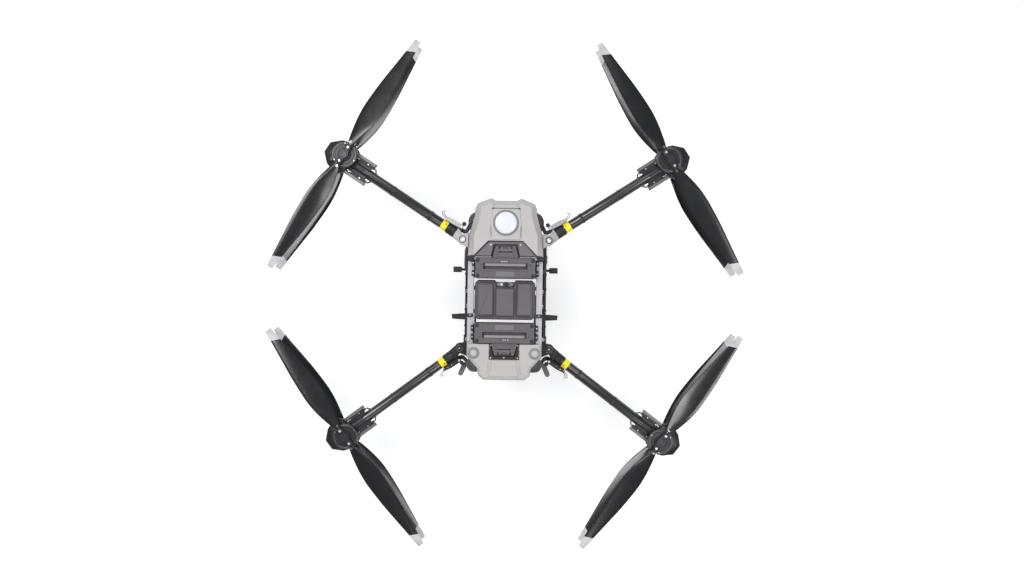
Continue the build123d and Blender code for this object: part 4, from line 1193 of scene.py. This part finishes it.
def make_arms():
    for corner in CORNERS:
        arm = Arm(corner)
        make_tube(arm)
        make_knuckle(arm)
        make_latch(arm)
        make_pod(arm)
        make_speed_controllers(arm)
        for level in ("top", "bottom"):
            make_rotor(arm, level)
            for letter in "ab":
                make_blade(arm, level, letter)
    make_bracket_pads()
    make_conduits()


# Small airframe details
def make_details():
    bm = bmesh.new()
    for side in (-1, 1):
        add_block(bm, side * 174 - 12, side * 174 + 12, 203, 216, 643.6, 646.5, 2)
    finish("deck_wedges", bm, "airframe", "black", bevel=0.6)
    # Bright alloy strips just beyond the front battery's outer edge: painted highlight lines of that edge.
    bm = bmesh.new()
    for side in (-1, 1):
        add_block(bm, side * 114 - 43, side * 114 + 43, 214.5, 221.5, 641, 650, 1)
    finish("deck_highlight_strips", bm, "airframe", "rail", bevel=0.8)
    flanges, screws, pipes = bmesh.new(), bmesh.new(), bmesh.new()
    for side in (-1, 1):
        for y in (44, -32):
            add_block(flanges, side * 193 - 5, side * 193 + 5, y - 11, y + 11, 592, 600, 1.5)
            for dy in (-5, 5):
                add_screw(screws, side * 194.4, y + dy, 599.6, 2.9, 2.2)
        add_tube(pipes, [(side * 188, 146, 554), (side * 202, 160, 554), (side * 204, 205, 554),
                         (side * 202, 256, 554),
                         (side * 188, 270, 554)], 9, 18)
    finish("side_flanges", flanges, "airframe", "black", bevel=0.8)
    finish("flange_screws", screws, "airframe", "bolt")
    finish("side_harness", pipes, "airframe", "hose")
    bm = bmesh.new()
    add_stack(bm, rounded(rect(-50, 50, 443.6, 446.5), 1, 2), [(490, 0), (542, 0)])
    finish("radar_window", bm, "airframe", "lens")
    bm = bmesh.new()
    for side in (-1, 1):
        for y in (140, 60, -60, -150):
            add_lathe(bm, [(13.05, y - 7), (15.4, y - 6.4), (15.4, y + 6.4), (13.05, y + 7)],
                      (side * 215, 0, 27), "Y",
                      36, True)
    finish("skid_rings", bm, "airframe", "gear")
    bm = bmesh.new()
    for side in (-1, 1):
        x = side * 70
        for y in (-92, -58):
            add_lathe(bm, [(30.2, y - 6.5), (31, y - 5.5), (31, y + 5.5), (30.2, y + 6.5)], (x, 0, 250),
                      "Y", 48, True)
        for sx in (-26, 26):
            for z in (224, 276):
                add_lathe(bm, [(0, 9), (3.4, 9), (3.4, 12), (0, 12)], (x + sx, 0, z), "Y", 6)
    finish("pump_bands", bm, "airframe", "steel")
    bm = bmesh.new()
    for side in (-1, 1):
        add_tube(bm, [(side * 97, -75, 256), (side * 118, -74, 262), (side * 136, -68, 276),
                      (side * 143, -60, 284)],
                 3.4, 12)
    finish("pump_leads", bm, "airframe", "hose")


def make_stage():
    bm = bmesh.new()
    for x, y in ((-30, -30), (30, -30), (30, 30), (-30, 30)):
        bm.verts.new((x, y, -0.0005))
    bm.faces.new(bm.verts)
    mesh = bpy.data.meshes.new("floor")
    bm.to_mesh(mesh)
    bm.free()
    floor = bpy.data.objects.new("floor", mesh)
    bpy.context.scene.collection.objects.link(floor)
    paper = bpy.data.materials.new("floor_paper")
    paper.use_nodes = True
    shader = paper.node_tree.nodes["Principled BSDF"]
    shader.inputs["Base Color"].default_value = (0.86, 0.86, 0.86, 1)
    shader.inputs["Roughness"].default_value = 0.9
    shader.inputs["Emission Color"].default_value = (1, 1, 1, 1)
    shader.inputs["Emission Strength"].default_value = FLOOR_GLOW
    mesh.materials.append(paper)


FLOOR_GLOW = 0.42
CAMERA_HEIGHT = 6.5
CAMERA_SIDE = 0.036            # the camera stands this far to the right of, and ahead of, the datum
CAMERA_LENS = 40.38
CAMERA_ROLL = 0.9


def make_camera():
    data = bpy.data.cameras.new("camera")
    data.lens = CAMERA_LENS
    data.sensor_width = 36
    data.clip_end = 200
    camera = bpy.data.objects.new("camera", data)
    camera.location = (CAMERA_SIDE, CAMERA_SIDE + DATUM_Y * MM, CAMERA_HEIGHT)
    camera.rotation_euler = (0, 0, radians(CAMERA_ROLL))
    bpy.context.scene.collection.objects.link(camera)
    bpy.context.scene.camera = camera


def make_lights():
    world = bpy.data.worlds.new("studio")
    world.use_nodes = True
    world.node_tree.nodes["Background"].inputs["Color"].default_value = (0.9, 0.93, 1.0, 1)
    world.node_tree.nodes["Background"].inputs["Strength"].default_value = 0.26
    bpy.context.scene.world = world
    # Softboxes: place, width, length, power
    for place, width, length, power in (((-2.5, 1.3, 5.2), 1.4, 3.6, 125), ((2.7, -0.9, 5.0), 1.1, 3.6, 85),
                                        ((0.0, 3.8, 5.0), 4.0, 1.1, 78), ((0.2, -3.9, 5.0), 4.0, 1.1, 68)):
        data = bpy.data.lights.new("softbox", "AREA")
        data.shape = "RECTANGLE"
        data.size, data.size_y = width, length
        data.energy = power
        lamp = bpy.data.objects.new("softbox", data)
        lamp.location = place
        lamp.rotation_euler = (Vector((0, 0, 0.5)) - Vector(place)).to_track_quat("-Z", "Y").to_euler()
        bpy.context.scene.collection.objects.link(lamp)
    bpy.context.scene.view_settings.view_transform = "Standard"


make_camera()
make_lights()
make_looks()
make_front_shell()
make_domes()
make_rear_shell()
make_screws()
make_frame_looks()
for battery_end in ("front", "rear"):
    make_battery(battery_end)
    make_battery_latch(battery_end)
make_tank()
make_arms()
make_details()
make_stage()
